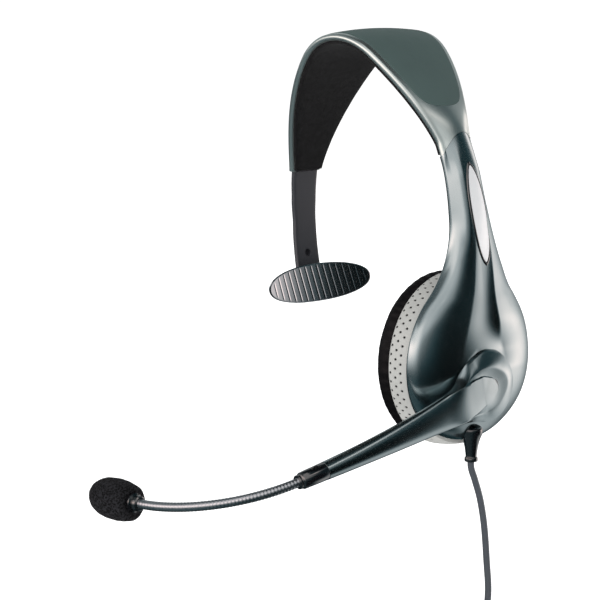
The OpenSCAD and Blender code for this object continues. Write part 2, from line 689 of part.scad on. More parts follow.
module speaker_basket() {
    color(dark) difference() {
        disc(basket_x, basket_back_x, basket_r);
        disc(basket_x - over, basket_back_x - 1, basket_r - basket_wall);
        disc(basket_x, basket_back_x + over, yoke_r);
        for (i = [0:5]) rotate([60 * i, 0, 0]) translate([0, (basket_r + yoke_r) / 2 - 0.6, 0])
            disc(basket_back_x - 2, basket_back_x + over, 1.8);
    }
}

module speaker_yoke() {
    color(steel) difference() {
        disc(yoke_x - yoke_floor - magnet_t - top_plate_t, yoke_x, yoke_r);
        disc(yoke_x - yoke_floor - magnet_t - top_plate_t - over, yoke_x - yoke_floor, coil_gap_r + 0.8);
    }
}

module speaker_magnet() {
    color(dark) disc(yoke_x - yoke_floor - magnet_t, yoke_x - yoke_floor, magnet_r);
}

module speaker_top_plate() {
    color(steel) disc(yoke_x - yoke_floor - magnet_t - top_plate_t, yoke_x - yoke_floor - magnet_t, magnet_r);
}

module voice_coil() {
    color(brass) disc(cone_x + cone_t, yoke_x - yoke_floor - 1, coil_gap_r + 0.3, coil_gap_r);
}

cone_x = basket_x + 1;

// Thin cone with a roll at its edge, glued to the basket and to the voice coil
module speaker_diaphragm() {
    edge = basket_r - basket_wall;
    dome = 0.6;
    outer = [for (i = [0:8]) [cone_x - dome * sin(180 * i / 8), coil_gap_r + (edge - coil_gap_r) * i / 8]];
    centre = [for (i = [0:6]) [cone_x - 0.8 * cos(90 * i / 6), coil_gap_r * i / 6]];
    top = concat(centre, [for (i = [1:8]) outer[i]]);
    color(dark) turned(concat(top, [for (i = [len(top) - 1:-1:0]) [top[i][0] + cone_t, top[i][1]]]));
}

// Ear cushion

module cushion_ring() {
    color(dark) disc(cover_back_x - ring_t, cover_back_x, ring_out_r, ring_in_r);
}

module cushion_wall() {
    waist = 0.5;
    side = [for (i = [0:6]) [wall_x + cushion_t * i / 6, cushion_r - waist * pow(2 * i / 6 - 1, 2)]];
    color(pale) difference() {
        turned(concat([[wall_x, ring_in_r]], side, [[cover_back_x, ring_in_r]]));
        disc(cover_back_x - ring_t, cover_back_x + over, ring_out_r);
    }
}

// Soft ring: a crowned tube drawn in by gathers, flat where it sits on the side wall
module ear_pad() {
    points = [for (i = [0:soft_segments - 1], j = [0:soft_sides - 1])
        let (a = 360 * i / soft_segments, b = 360 * (j + 0.5) / soft_sides,
            g = 1 - gather_depth / soft_r * (0.5 + 0.5 * cos(gathers * a)) * pow(sin(b), 2),
            r = soft_ring_r + soft_r * g * sin(b), x = min(wall_x, soft_x - soft_r * cos(b)))
        [x, r * cos(a), r * sin(a)]];
    faces = [for (i = [0:soft_segments - 1], j = [0:soft_sides - 1])
        let (a = i * soft_sides + j, b = i * soft_sides + (j + 1) % soft_sides,
            c = ((i + 1) % soft_segments) * soft_sides + j,
            d = ((i + 1) % soft_segments) * soft_sides + (j + 1) % soft_sides)
        each quad(a, b, d, c)];
    color(black) polyhedron(points, faces);
}

// Boom

module pivot_bushing() {
    color(brass) translate([0, 0, pivot_z]) disc(bushing_x, seat_x, bushing_r, shaft_r + shaft_gap);
}

module pivot_shaft() {
    color(steel) translate([0, 0, pivot_z]) turned([[shaft_x, 0], [shaft_x, shaft_r], [clip_x, shaft_r],
        [clip_x, groove_r], [clip_x + clip_t, groove_r], [clip_x + clip_t, shaft_r],
        [boss_x + shaft_in_boss, shaft_r], [boss_x + shaft_in_boss, 0]]);
}

module retaining_clip() {
    color(steel) translate([0, 0, pivot_z]) difference() {
        disc(clip_x, clip_x + clip_t, clip_r, groove_r);
        translate([clip_x - over, -groove_r * 0.8, 0]) cube([clip_t + 2 * over, groove_r * 1.6, clip_r + over]);
    }
}

module friction_washer() {
    color(steel) translate([0, 0, pivot_z]) disc(seat_x + fit / 2, seat_x + washer_t, bushing_r + 2, shaft_r + 0.6);
}

module boom_arm() {
    sides = 16;
    stations = [for (i = [0:9]) 5 + (boom_len - 5) * i / 9];
    rings = [for (u = stations) let (t = (u - 5) / (boom_len - 5),
        half = arm_tip_half + (arm_root_half - arm_tip_half) * (1 - ease(t) * 0.45 - t * 0.55),
        thick = arm_half_t + (arm_tip_half - arm_half_t) * t, lean = lean_at(u))
        [for (j = [0:sides - 1]) let (a = -360 * j / sides, x = thick * cos(a))
            [arm_x(u) + x * cos(lean), -u - x * sin(lean), half * sin(a)]]];
    color(slate) difference() {
        union() {
            translate([0, 0, pivot_z]) turned([[boss_x, 0], [boss_x, boss_r], [boss_x + 0.5 * boss_t, boss_r],
                [boss_x + 0.8 * boss_t, boss_r - 0.8], [boss_x + boss_t, boss_r - 2.6], [boss_x + boss_t, 0]]);
            place_boom() polyhedron(flat(rings), tube_faces(len(rings), sides));
        }
        translate([0, 0, pivot_z]) disc(boss_x - over, boss_x + shaft_in_boss, shaft_r);
    }
}

module boom_collar() {
    color(black) place_on_boom(collar_start, boom_lean) difference() {
        turned([[0, 0], [0, collar_r], [collar_len - 1, collar_r], [collar_len, collar_r - 0.8],
            [collar_len, 0]]);
        disc(collar_len - goose_end_len, collar_len + over, goose_r + fit);
    }
}

// Half of the gooseneck: a ribbed tube with a bore, straight in its ferrule and bent in the open
function goose_point(turn, ahead) = bend_point(turn) + ahead * [-sin(turn), cos(turn)];
function goose_ring(turn, ahead, r) = let (p = goose_point(turn, ahead), sides = 8)
    [for (j = [0:sides - 1]) let (a = 22.5 - 360 * j / sides)
        [p[0] + r * cos(a) * cos(turn), -p[1] - r * cos(a) * sin(turn), r * sin(a)]];

module goose_half(from, to, ahead_from, ahead_to) {
    sides = 8;
    lo = goose_r - goose_groove;
    path = concat(ahead_from < 0 ? [[from, ahead_from, goose_r], [from, 0, goose_r]] : [],
        flat([for (i = [0:goose_ribs - 1]) let (d = (to - from) / goose_ribs, a = from + d * i)
            [[a + 0.25 * d, 0, goose_r], [a + 0.75 * d, 0, lo]]]),
        [[to, 0, goose_r]], ahead_to > 0 ? [[to, ahead_to, goose_r]] : []);
    start = ahead_from < 0 ? path : concat([[from, 0, goose_r]], path);
    bore = [for (i = [0:10]) i == 0 ? [from, ahead_from, goose_bore_r]
        : i == 10 ? [to, ahead_to, goose_bore_r] : [from + (to - from) * (i - 1) / 8, 0, goose_bore_r]];
    m = len(start);
    k = m * sides;
    e = k + (len(bore) - 1) * sides;
    o = (m - 1) * sides;
    skin = [for (i = [0:m - 2], j = [0:sides - 1]) let (a = i * sides + j, b = i * sides + (j + 1) % sides)
        each quad(a, b, b + sides, a + sides)];
    lining = [for (i = [0:len(bore) - 2], j = [0:sides - 1])
        let (a = k + i * sides + j, b = k + i * sides + (j + 1) % sides) each quad(a, a + sides, b + sides, b)];
    ends = [for (j = [0:sides - 1]) let (n = (j + 1) % sides)
        each concat(quad(j, k + j, k + n, n), quad(o + j, o + n, e + n, e + j))];
    place_boom() polyhedron(flat([for (p = concat(start, bore)) goose_ring(p[0], p[1], p[2])]),
        concat(skin, lining, ends));
}

module gooseneck_lower() {
    color(dark) goose_half(boom_lean, mid_turn, -goose_end_len + fit, 0);
}

module gooseneck_upper() {
    color(dark) goose_half(mid_turn, mic_turn, 0, goose_end_len - fit);
}

// Microphone

module mic_neck() {
    color(black) place_on_boom(bend_end, mic_turn) difference() {
        turned([[0, 0], [0, mic_r - 1.2], [0.8, mic_r - 0.6], [neck_len, mic_r - 0.6], [neck_len, 0]]);
        disc(-over, goose_end_len, goose_r + fit);
    }
}

module mic_housing() {
    color(black) place_on_boom(bend_end, mic_turn) difference() {
        disc(neck_len, neck_len + mic_len, mic_r);
        disc(neck_len + mic_len - capsule_seat, neck_len + mic_len + over, capsule_r + fit);
    }
}

module mic_capsule() {
    color(steel) place_on_boom(bend_end, mic_turn)
        disc(neck_len + mic_len - capsule_seat, neck_len + mic_len - 0.3, capsule_r);
}

// Egg-shaped foam, open at the back and hollow over the housing
module mic_windscreen() {
    wide = 0.42 * foam_len;
    front = [for (i = [0:12]) [foam_start + wide + (foam_len - wide) * sin(90 * i / 12), foam_r * cos(90 * i / 12)]];
    back = [for (i = [0:5]) [foam_start + wide * i / 6, foam_r - 1.6 * pow(1 - i / 6, 2)]];
    color(black) place_on_boom(bend_end, mic_turn) difference() {
        turned(concat([[foam_start, 0]], back, front));
        disc(foam_start - over, neck_len + mic_len + fit, mic_r + fit);
    }
}

// Slider arm and temple pad

hinge_x = far_c[0] - sqrt(pow(far_r, 2) - pow(hinge_z + barrel_r - far_c[1], 2)) - 0.9;
arm_low_el = asin((hinge_z + 1.2 - far_c[1]) / far_r);
arm_high_el = far_end_el + tongue_arc;
waist_z = 43;
foot_w = 10.2;
carrier_x = hinge_x + barrel_r + 0.5;

module slider_arm() {
    tongue_low_z = far_c[1] + far_r * sin(far_end_el - 7);
    color(dark) difference() {
        union() {
            intersection() {
                arc_strip(far_c, far_r, -arm_t / 2, arm_t / 2, tongue_w / 2, 180 - arm_high_el, 180 - arm_low_el);
                // Outline seen from the ear: the tongue, a waist and a foot at the hinge
                translate([-far_r, 0, 0]) rotate([90, 0, 90]) linear_extrude(2 * far_r)
                    polygon(concat([for (i = [0:8]) arm_edge(i / 8, 1, tongue_low_z)],
                        [[tongue_w / 2, crown_top], [-tongue_w / 2, crown_top]],
                        [for (i = [8:-1:0]) arm_edge(i / 8, -1, tongue_low_z)]));
            }
            translate([hinge_x, 0, hinge_z]) rod_y(barrel_r, -barrel_w / 2, barrel_w / 2);
        }
        translate([hinge_x, 0, hinge_z]) rod_y(pin_r, -barrel_w, barrel_w);
        translate([-far_r, 0, arm_hole_z]) rotate([0, 90, 0]) cylinder(d = arm_hole_d, h = far_r);
        // Room for the pad's hinge ears beside the barrel
        for (side = [-1, 1]) translate([hinge_x, side * (barrel_w / 2 + ear_t), hinge_z])
            rod_y(barrel_r + 1.2, -ear_t, ear_t);
    }
}

// Half-width of the arm: a hollow curve from its foot to its waist, then out to the tongue
function arm_edge(t, side, high_z) = let (z = hinge_z - 3 + (high_z - hinge_z + 3) * t,
    k = (z - waist_z) / (z < waist_z ? hinge_z - 3 - waist_z : high_z - waist_z),
    w = waist_w + ((z < waist_z ? foot_w : tongue_w) - waist_w) * ease(k)) [side * w / 2, z];

module pad_pin() {
    color(steel) translate([hinge_x, 0, hinge_z]) rod_y(pin_r, -barrel_w / 2 - ear_t - 0.2, barrel_w / 2 + ear_t + 0.2);
}

// Rounded oval, seen from the ear
module oval(inset) {
    a = pad_len / 2 - inset;
    b = pad_h / 2 - inset;
    polygon([for (i = [0:47]) let (t = 7.5 * i, c = cos(t), s = sin(t))
        [a * sign(c) * pow(abs(c), 0.9), b * sign(s) * pow(abs(s), 0.9)]]);
}

module oval_slab(x0, x1, inset) {
    translate([x0, 0, hinge_z + 0.4]) rotate([90, 0, 90]) linear_extrude(x1 - x0) oval(inset);
}

module pad_carrier() {
    gap = 0.2;
    color(black) difference() {
        union() {
            oval_slab(carrier_x, carrier_x + carrier_t, 0.4);
            for (side = [-1, 1]) {
                y = side * (barrel_w / 2 + gap + (ear_t - gap) / 2);
                translate([hinge_x, y, hinge_z]) {
                    rod_y(barrel_r, -(ear_t - gap) / 2, (ear_t - gap) / 2);
                    translate([0, -(ear_t - gap) / 2, -barrel_r])
                        cube([carrier_x - hinge_x + carrier_t / 2, ear_t - gap, 2 * barrel_r]);
                }
            }
        }
        translate([hinge_x, 0, hinge_z]) rod_y(pin_r + 0.04, -barrel_w - ear_t, barrel_w + ear_t);
    }
}

module temple_pad() {
    face_x = carrier_x + carrier_t;
    pitch = pad_len / (ribs + 1);
    color(black) union() {
        oval_slab(face_x, face_x + rubber_t, 0);
        intersection() {
            oval_slab(face_x, face_x + rubber_t + rib_h, 0.9);
            for (i = [0:ribs - 1]) translate([face_x + rubber_t / 2, (i - (ribs - 1) / 2) * pitch - 0.3 * pitch, 0])
                cube([rubber_t + rib_h, 0.6 * pitch, 2 * hinge_z]);
        }
    }
}

// Cord

module strain_relief() {
    color(black) translate([relief_x, relief_y, 0]) rotate_extrude() polygon([[cord_r + fit, relief_top_z],
        [relief_r, relief_top_z], [relief_r, relief_top_z - 4], [0.85 * relief_r, relief_top_z - 5.6],
        [0.7 * relief_r, relief_top_z - 8], [relief_tip_r, relief_end_z + 1.4],
        [relief_tip_r + 0.2, relief_end_z + 1.2], [relief_tip_r + 0.2, relief_end_z],
        [cord_r + fit, relief_end_z]]);
}

module cord_drop() {
    p = smooth(drop_route, 2);
    color(dark) polyhedron(swept(p, cord_r, 8), tube_faces(len(p), 8));
}

module cord_coil() {
    color(dark) polyhedron(swept(coil_route, cord_r, 6), tube_faces(len(coil_route), 6));
}

module cord_tail() {
    p = smooth(tail_route, 2);
    color(dark) polyhedron(swept(p, cord_r, 8), tube_faces(len(p), 8));
}

module cord_tie() {
    gap = cord_r + tie_gap;
    r0 = coil_in_r - gap;
    z0 = coil_low_z - gap;
    size = [coil_out_r - coil_in_r + 2 * gap, coil_top_z - coil_low_z + 2 * gap];
    color(black) translate([coil_c[0], coil_c[1], 0]) rotate([0, 0, tie_turn]) rotate([90, 0, 0])
        linear_extrude(tie_w, center = true) difference() {
            translate([r0 - tie_t, z0 - tie_t]) square(size + 2 * tie_t * [1, 1]);
            translate([r0, z0]) square(size);
        }
}

module rounded_bar(w, h, r, y0, y1) {
    translate([plug_x, y1, plug_z]) rotate([90, 0, 0]) linear_extrude(y1 - y0) union() {
        square([w - 2 * r, h], center = true);
        square([w, h - 2 * r], center = true);
        for (x = [-1, 1], z = [-1, 1]) translate([x * (w / 2 - r), z * (h / 2 - r)]) circle(r = r);
    }
}

module plug_body() {
    color(black) difference() {
        union() {
            rounded_bar(grip_w, grip_h, 2.4, grip_y - grip_len, grip_y);
            translate([plug_x, 0, plug_z]) rod_y(cuff_r, grip_y - over, grip_y + cuff_len);
        }
        translate([plug_x, 0, plug_z]) rod_y(cord_r + fit, grip_y + cuff_len - 3, grip_y + cuff_len + over);
    }
}

module plug_shell() {
    y1 = grip_y - grip_len;
    color(steel) difference() {
        rounded_bar(plug_w, plug_h, 0.6, y1 - plug_len, y1);
        rounded_bar(plug_w - 2 * plug_wall, plug_h - 2 * plug_wall, 0.3, y1 - plug_len - over, y1 + over);
    }
}

module plug_tongue() {
    y1 = grip_y - grip_len;
    w = plug_w - 2 * plug_wall - 0.4;
    color(black) translate([plug_x - w / 2, y1 - plug_len + 1, plug_z - plug_h / 2 + plug_wall + fit])
        cube([w, plug_len - 1, tongue_h]);
}

module plug_contacts() {
    y1 = grip_y - grip_len;
    pitch = 2.3;
    z = plug_z - plug_h / 2 + plug_wall + fit + tongue_h;
    color(brass) for (i = [-1.5:1.5]) translate([plug_x + i * pitch - 0.6, y1 - plug_len + 2, z])
        cube([1.2, plug_len - 4, 0.15]);
}

headband_shell();
headband_inlay();
headband_pad();
band_spring();
detent_spring();
outer_shell();
inner_cover();
badge_bezel();
badge_plate();
cover_screws();
terminal_board();
speaker_baffle();
acoustic_mesh();
speaker_basket();
speaker_yoke();
speaker_magnet();
speaker_top_plate();
voice_coil();
speaker_diaphragm();
cushion_ring();
cushion_wall();
ear_pad();
pivot_bushing();
strain_relief();
cord_drop();
cord_coil();
cord_tail();
cord_tie();
plug_body();
plug_shell();
plug_tongue();
plug_contacts();
slider_arm();
pad_pin();
pad_carrier();
temple_pad();
boom_arm();
pivot_shaft();
retaining_clip();
friction_washer();
boom_collar();
gooseneck_lower();
gooseneck_upper();
mic_neck();
mic_housing();
mic_capsule();
mic_windscreen();
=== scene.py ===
"""Dressed model of the mono office headset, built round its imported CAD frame.

Sizes are in millimetres until a point is put into a mesh. Z is up, the wearer faces -Y, the ear cup is on +X.
"""
import math

import bpy
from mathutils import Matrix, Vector, noise


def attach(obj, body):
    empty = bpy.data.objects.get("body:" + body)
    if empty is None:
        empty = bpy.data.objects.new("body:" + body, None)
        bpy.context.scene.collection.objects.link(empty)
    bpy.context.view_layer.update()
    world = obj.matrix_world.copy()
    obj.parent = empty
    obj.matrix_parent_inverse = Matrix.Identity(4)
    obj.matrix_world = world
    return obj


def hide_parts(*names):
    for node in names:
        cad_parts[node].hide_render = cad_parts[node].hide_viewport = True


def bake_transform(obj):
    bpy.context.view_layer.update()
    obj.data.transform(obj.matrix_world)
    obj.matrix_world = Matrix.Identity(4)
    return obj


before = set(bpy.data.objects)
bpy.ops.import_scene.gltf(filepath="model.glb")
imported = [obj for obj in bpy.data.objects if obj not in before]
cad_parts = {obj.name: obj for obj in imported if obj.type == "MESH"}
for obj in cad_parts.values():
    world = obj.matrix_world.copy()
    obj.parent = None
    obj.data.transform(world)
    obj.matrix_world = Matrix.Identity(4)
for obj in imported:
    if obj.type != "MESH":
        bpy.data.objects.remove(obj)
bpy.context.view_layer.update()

MM = 0.001
TAU = 2 * math.pi


def ease(t):
    t = min(1.0, max(0.0, t))
    return t * t * (3 - 2 * t)


def mix(a, b, t):
    return a + (b - a) * t


def signed_power(value, power):
    """Power that keeps its sign, which makes rounded-off squares of circles"""
    return math.copysign(abs(value) ** power, value)


def table(points, at):
    """Smooth value at a place, from (place, value) points in rising order"""
    if at <= points[0][0]:
        return points[0][1]
    if at >= points[-1][0]:
        return points[-1][1]
    i = next(k for k in range(1, len(points)) if at <= points[k][0]) - 1
    (a, va), (b, vb) = points[i], points[i + 1]
    before, after = points[max(0, i - 1)], points[min(len(points) - 1, i + 2)]
    rise_a, rise_b = (vb - before[1]) / (b - before[0]), (after[1] - va) / (after[0] - a)
    w, t = b - a, (at - a) / (b - a)
    return (va * (2 * t**3 - 3 * t**2 + 1) + rise_a * w * (t**3 - 2 * t**2 + t)
            + vb * (3 * t**2 - 2 * t**3) + rise_b * w * (t**3 - t**2))


# Sizes shared with the part's source

crown_c, crown_r = (-2.5, 88.4), 22.1
far_c, far_r, far_turn, far_end_turn = (45.684, 47.968), 85.0, 50.0, 81.5
near_c, near_r, near_turn, near_end_turn = (-44.842, 40.542), 86.0, 41.5, 66.5
far_len = math.radians(crown_r * far_turn + far_r * (far_end_turn - far_turn))
near_len = math.radians(crown_r * near_turn + near_r * (near_end_turn - near_turn))
crown_half, far_half, near_half = 21.5, 7.4, 8.2
band_in, band_out, band_fall, felt_t = 1.3, 2.5, 1.2, 2.2
inlay_reach, rim_w = 41.0, 2.6

joint_x = near_c[0] + near_r
neck_foot = near_c[1]
neck_top = neck_foot + near_r * math.radians(90 - near_end_turn)
cup_r, dome_h, neck_front, neck_back = 30.8, 9.5, 4.1, 3.2
neck_half, neck_top_half, fillet_r, cover_t = 8.4, 7.8, 36.0, 1.0
fillet_y = neck_half + fillet_r
fillet_z = math.sqrt((cup_r + fillet_r) ** 2 - fillet_y**2)
circle_end = fillet_z * cup_r / (cup_r + fillet_r)
cover_x = joint_x - cover_t
badge_z, badge_len, badge_w, bezel_w = neck_top - 25.2, 35.0, 9.6, 0.9

cushion_r, cushion_t = 30.3, 7.6
punch_around, punch_rows, punched_rows, punch_r = 60, 5, 3, 0.38
wall_x = cover_x - cushion_t
soft_r, soft_ring_r = 5.0, 25.5
soft_x = wall_x - 0.75 * soft_r

pivot_z, boom_slope, boss_r, boss_t = -8.0, math.radians(13.7), 12.8, 3.8
seat_x = joint_x + dome_h - 0.8
boss_x = seat_x + 0.3
boom_x = boss_x + 0.74 * boss_t
boom_len, boom_lean, lean_start = 78.0, math.radians(11), 10.0
lean_r = (boom_len - lean_start) / math.sin(boom_lean)
collar_len = 11.0
goose_r, goose_groove, goose_ribs = 1.6, 0.3, 24
bend_r, mic_turn = 42.0, math.radians(87)
mid_turn = (boom_lean + mic_turn) / 2
mic_neck_len, foam_r, foam_len, foam_start = 4.6, 6.7, 19.0, 3.0

hinge_z, arm_t, tongue_w, waist_w, foot_w, waist_z = 19.5, 2.0, 12.0, 10.2, 11.4, 41.0
barrel_r, barrel_w, arm_hole_d, arm_hole_z = 2.3, 5.0, 2.5, 30.5
hinge_x = far_c[0] - math.sqrt(far_r**2 - (hinge_z + barrel_r - far_c[1]) ** 2) - 0.9
pad_len, pad_h, rubber_t, ribs, carrier_t = 51.3, 14.3, 1.3, 16, 1.2
oval_power, pad_lift = 0.92, 0.4
carrier_x = hinge_x + barrel_r + 0.5

cord_d = 2.4
relief = (joint_x + 3.5, -1.6)
relief_top, relief_end = -cup_r + 7.8, -cup_r - 4.2
coil_c, coil_low, coil_turns, coil_layers = (9.0, -12.0), -109.9, 15, 4
coil_mean, coil_step, loop_points = 14.0, 2.9, 24
plug_x, plug_z, grip_y, grip_len, cuff_len = -26.0, -108.0, -22.0, 22.0, 5.0


# Finishes: a socket class for shader sums, and one method that makes every node

def math_node(operation, swapped=False):
    """Method for the socket class that adds one Math node"""
    def method(self, other):
        a, b = (other, self) if swapped else (self, other)
        return self.finish.node("ShaderNodeMath", {"operation": operation}, {0: a, 1: b})
    return method


class Signal:
    """Output of a shader node; sums on it add Math nodes"""
    __add__ = __radd__ = math_node("ADD")
    __mul__ = __rmul__ = math_node("MULTIPLY")
    __sub__, __rsub__ = math_node("SUBTRACT"), math_node("SUBTRACT", swapped=True)
    __truediv__, __mod__, __pow__ = map(math_node, ("DIVIDE", "FLOORED_MODULO", "POWER"))

    def __init__(self, finish, socket):
        self.finish, self.socket = finish, socket


class Finish:
    """One procedural material, on a Principled shader"""

    def __init__(self, name, colour, roughness, metallic=0.0, **fixed):
        self.material = bpy.data.materials.new(name)
        self.material.use_nodes = True
        self.material.diffuse_color = (*colour, 1)
        self.colour, self.tree = colour, self.material.node_tree
        self.shader = self.tree.nodes["Principled BSDF"]
        self.set("Base Color", (*colour, 1))
        self.set("Roughness", roughness)
        self.set("Metallic", metallic)
        for key, value in fixed.items():
            self.set(key.replace("_", " ").title().replace("Ior", "IOR"), value)
        self.place = None

    def set(self, name, value):
        socket = self.shader.inputs[name]
        if isinstance(value, Signal):
            self.tree.links.new(value.socket, socket)
        else:
            socket.default_value = value

    def node(self, kind, settings=None, inputs=None, output=0):
        made = self.tree.nodes.new(kind)
        for key, value in (settings or {}).items():
            if key == "stops":
                ramp = made.color_ramp.elements
                while len(ramp) < len(value):
                    ramp.new(0.5)
                for element, (at, colour) in zip(ramp, value):
                    element.position, element.color = at, colour
            else:
                setattr(made, key, value)
        for key, value in (inputs or {}).items():
            if isinstance(value, Signal):
                self.tree.links.new(value.socket, made.inputs[key])
            else:
                made.inputs[key].default_value = value
        return Signal(self, made.outputs[output])

    def spot(self):
        """Place on the object"""
        if self.place is None:
            self.place = self.node("ShaderNodeTexCoord", output="Object")
        return self.place

    def parts(self, vector):
        """X, Y and Z of a vector"""
        return [self.node("ShaderNodeSeparateXYZ", None, {0: vector}, k) for k in range(3)]

    def uv(self):
        return self.parts(self.node("ShaderNodeTexCoord", output="UV"))[:2]

    def grain(self, size_mm, detail=3.0, rough=0.55, at=None):
        """Even noise from 0 to 1, with features of about this size"""
        return self.node("ShaderNodeTexNoise", None, {"Vector": at or self.spot(), "Scale": 1000 / size_mm,
                         "Detail": detail, "Roughness": rough})

    def cells(self, size_mm, feature="F1"):
        return self.node("ShaderNodeTexVoronoi", {"feature": feature},
                         {"Vector": self.spot(), "Scale": 1000 / size_mm}, "Distance")

    def span(self, signal, low, high, to_low=0.0, to_high=1.0):
        return self.node("ShaderNodeMapRange", {"interpolation_type": "SMOOTHSTEP"},
                         {0: signal, 1: low, 2: high, 3: to_low, 4: to_high})

    def tint(self, factor, a, b):
        """Colour between two colours or colour signals"""
        full = [c if isinstance(c, Signal) else (*c, 1) for c in (a, b)]
        return self.node("ShaderNodeMix", {"data_type": "RGBA"}, {0: factor, 6: full[0], 7: full[1]}, 2)

    def shades(self, factor, low, high):
        """Colour between two shades of the finish's own colour"""
        return self.tint(factor, *(tuple(c * k for c in self.colour) for k in (low, high)))

    def bump(self, height, depth_mm):
        self.set("Normal", self.node("ShaderNodeBump", None, {"Height": height, "Strength": 1.0,
                                     "Distance": depth_mm * MM}, "Normal"))


def moulded(name, colour, roughness, metallic=0.0, grain_mm=0.35, depth=0.012, scuff=0.06, **fixed):
    """Moulded or plated piece: fine grain, faint clouding and handling marks in its gloss"""
    made = Finish(name, colour, roughness, metallic, **fixed)
    cloud = made.grain(14.0, 2.0)
    made.set("Base Color", made.shades(cloud, 0.92, 1.08))
    rub = made.span(made.grain(5.0, 5.0, 0.7), 0.45, 0.75)
    made.set("Roughness", rub * scuff + made.grain(0.6, 2.0) * (0.5 * scuff) + (roughness - 0.4 * scuff))
    made.bump(made.grain(grain_mm, 2.0), depth)
    return made.material


def flake_paint(name, colour, roughness):
    """Metallic lacquer: small bright flakes under a clear coat"""
    made = Finish(name, colour, roughness, 1.0, coat_weight=0.1, coat_roughness=0.2)
    flakes = made.span(made.cells(0.22), 0.1, 0.55)
    cloud = made.grain(18.0, 2.0)
    body = made.shades(cloud, 0.95, 1.05)
    made.set("Base Color", made.tint(flakes, [c * 1.04 for c in colour], body))
    rub = made.span(made.grain(6.0, 1.0), 0.5, 0.8)
    made.set("Roughness", rub * 0.03 + (roughness - 0.01))
    return made.material


def felt_cloth(name, colour):
    """Short black felt: speckled fibres with a soft sheen"""
    made = Finish(name, colour, 0.95, sheen_weight=0.05, sheen_roughness=0.5, specular_ior_level=0.15)
    fibre = made.grain(0.35, 6.0, 0.75)
    clump = made.grain(1.6, 3.0)
    speck = made.span(fibre * 0.75 + clump * 0.25, 0.46, 0.7)
    made.set("Base Color", made.shades(speck, 0.55, 2.6))
    made.bump(fibre + clump * 0.6, 0.25)
    return made.material


def soft_skin(name, colour, roughness, grain_mm=0.8, depth=0.06):
    """Thin leatherette: pebbled grain, duller in its hollows"""
    made = Finish(name, colour, roughness, specular_ior_level=0.18)
    pebble = made.cells(grain_mm, "SMOOTH_F1")
    crease = made.grain(3.0, 4.0, 0.6)
    made.set("Base Color", made.shades(crease, 0.85, 1.2))
    made.set("Roughness", made.span(crease, 0.3, 0.7, roughness - 0.08, roughness + 0.1))
    made.bump(pebble + crease * 0.5, depth)
    return made.material


def perforated_skin(name, colour):
    """Pale leatherette with staggered rows of punched holes, laid out on the piece's own map; the near black in the
    holes is painted shade inside them
    """
    made = Finish(name, colour, 0.5, sheen_weight=0.1)
    u, v = made.uv()
    along, across = u * float(punch_around), v * float(punch_rows)
    row = made.node("ShaderNodeMath", {"operation": "FLOOR"}, {0: across})
    shift = (row % 2.0) * 0.5
    du = (along + shift) % 1.0 - 0.5
    dv = across % 1.0 - 0.5
    cell_u, cell_v = TAU * cushion_r / punch_around, cushion_t / (punch_rows - 1)
    gap = ((du * cell_u) ** 2.0 + (dv * cell_v) ** 2.0) ** 0.5
    punched = (made.span(gap, punch_r * 0.85, punch_r * 1.2, 1.0, 0.0)
               * made.span(across, punched_rows, punched_rows + 0.01, 1.0, 0.0))
    cloud = made.grain(5.0, 3.0)
    leather = made.shades(cloud, 0.93, 1.05)
    # painted shade: the punched holes are coloured near black for the shade inside them
    made.set("Base Color", made.tint(punched, leather, (0.012, 0.012, 0.013)))
    made.set("Roughness", punched * 0.35 + 0.48)
    made.bump(made.grain(0.5, 3.0) * 0.25 - punched, 0.2)
    return made.material


def open_foam(name, colour):
    """Black open-cell foam"""
    made = Finish(name, colour, 0.92, specular_ior_level=0.2)
    cells = made.cells(0.7)
    fine = made.grain(0.45, 4.0, 0.7)
    lit = made.span(cells * 0.6 + fine * 0.5, 0.35, 0.75)
    made.set("Base Color", made.shades(lit, 0.3, 5.0))
    made.bump(fine - cells, 0.25)
    return made.material


def brushed(name, colour, roughness, stretch=(1.0, 1.0, 14.0)):
    """Drawn or plated metal with fine lines"""
    made = Finish(name, colour, roughness, 1.0)
    turned_place = made.node("ShaderNodeMapping", None, {"Vector": made.spot(), "Scale": stretch})
    lines = made.grain(0.5, 3.0, 0.6, turned_place)
    made.set("Base Color", made.shades(lines, 0.85, 1.1))
    made.set("Roughness", lines * 0.15 + (roughness - 0.05))
    made.bump(lines, 0.004)
    return made.material


def woven(name, colour, thread_mm):
    """Plain weave on Object coordinates"""
    made = Finish(name, colour, 0.85, sheen_weight=0.2)
    across, up = (made.node("ShaderNodeTexWave", {"bands_direction": way},
                            {"Vector": made.spot(), "Scale": 160 / thread_mm, "Distortion": 0.4}) for way in "YZ")
    weave = across * up
    made.set("Base Color", made.shades(weave, 0.35, 1.9))
    made.bump(weave, 0.08)
    return made.material


silver_plastic = moulded("silver_plastic", (0.66, 0.73, 0.71), 0.28, 0.94, grain_mm=1.5, depth=0.001, scuff=0.02)
inlay_plastic = moulded("inlay_plastic", (0.066, 0.105, 0.1), 0.62, grain_mm=0.3, depth=0.02)
band_felt = felt_cloth("band_felt", (0.0075, 0.0072, 0.008))
shell_paint = flake_paint("shell_paint", (0.40, 0.47, 0.485), 0.215)
badge_silver = moulded("badge_silver", (0.95, 0.955, 0.965), 0.34, 0.25, grain_mm=0.3, depth=0.004)
gloss_black = moulded("gloss_black", (0.004, 0.004, 0.005), 0.14, grain_mm=0.8, depth=0.001, scuff=0.03,
                     specular_ior_level=1.0, coat_weight=1.0, coat_roughness=0.08, coat_ior=1.8)
satin_black = moulded("satin_black", (0.015, 0.015, 0.016), 0.42)
arm_plastic = moulded("arm_plastic", (0.036, 0.037, 0.044), 0.38, grain_mm=0.25, depth=0.01)
pad_rubber = moulded("pad_rubber", (0.62, 0.62, 0.64), 0.16, 1.0, grain_mm=2.0, depth=0.0002, scuff=0.005)
pale_skin = perforated_skin("pale_skin", (0.46, 0.46, 0.44))
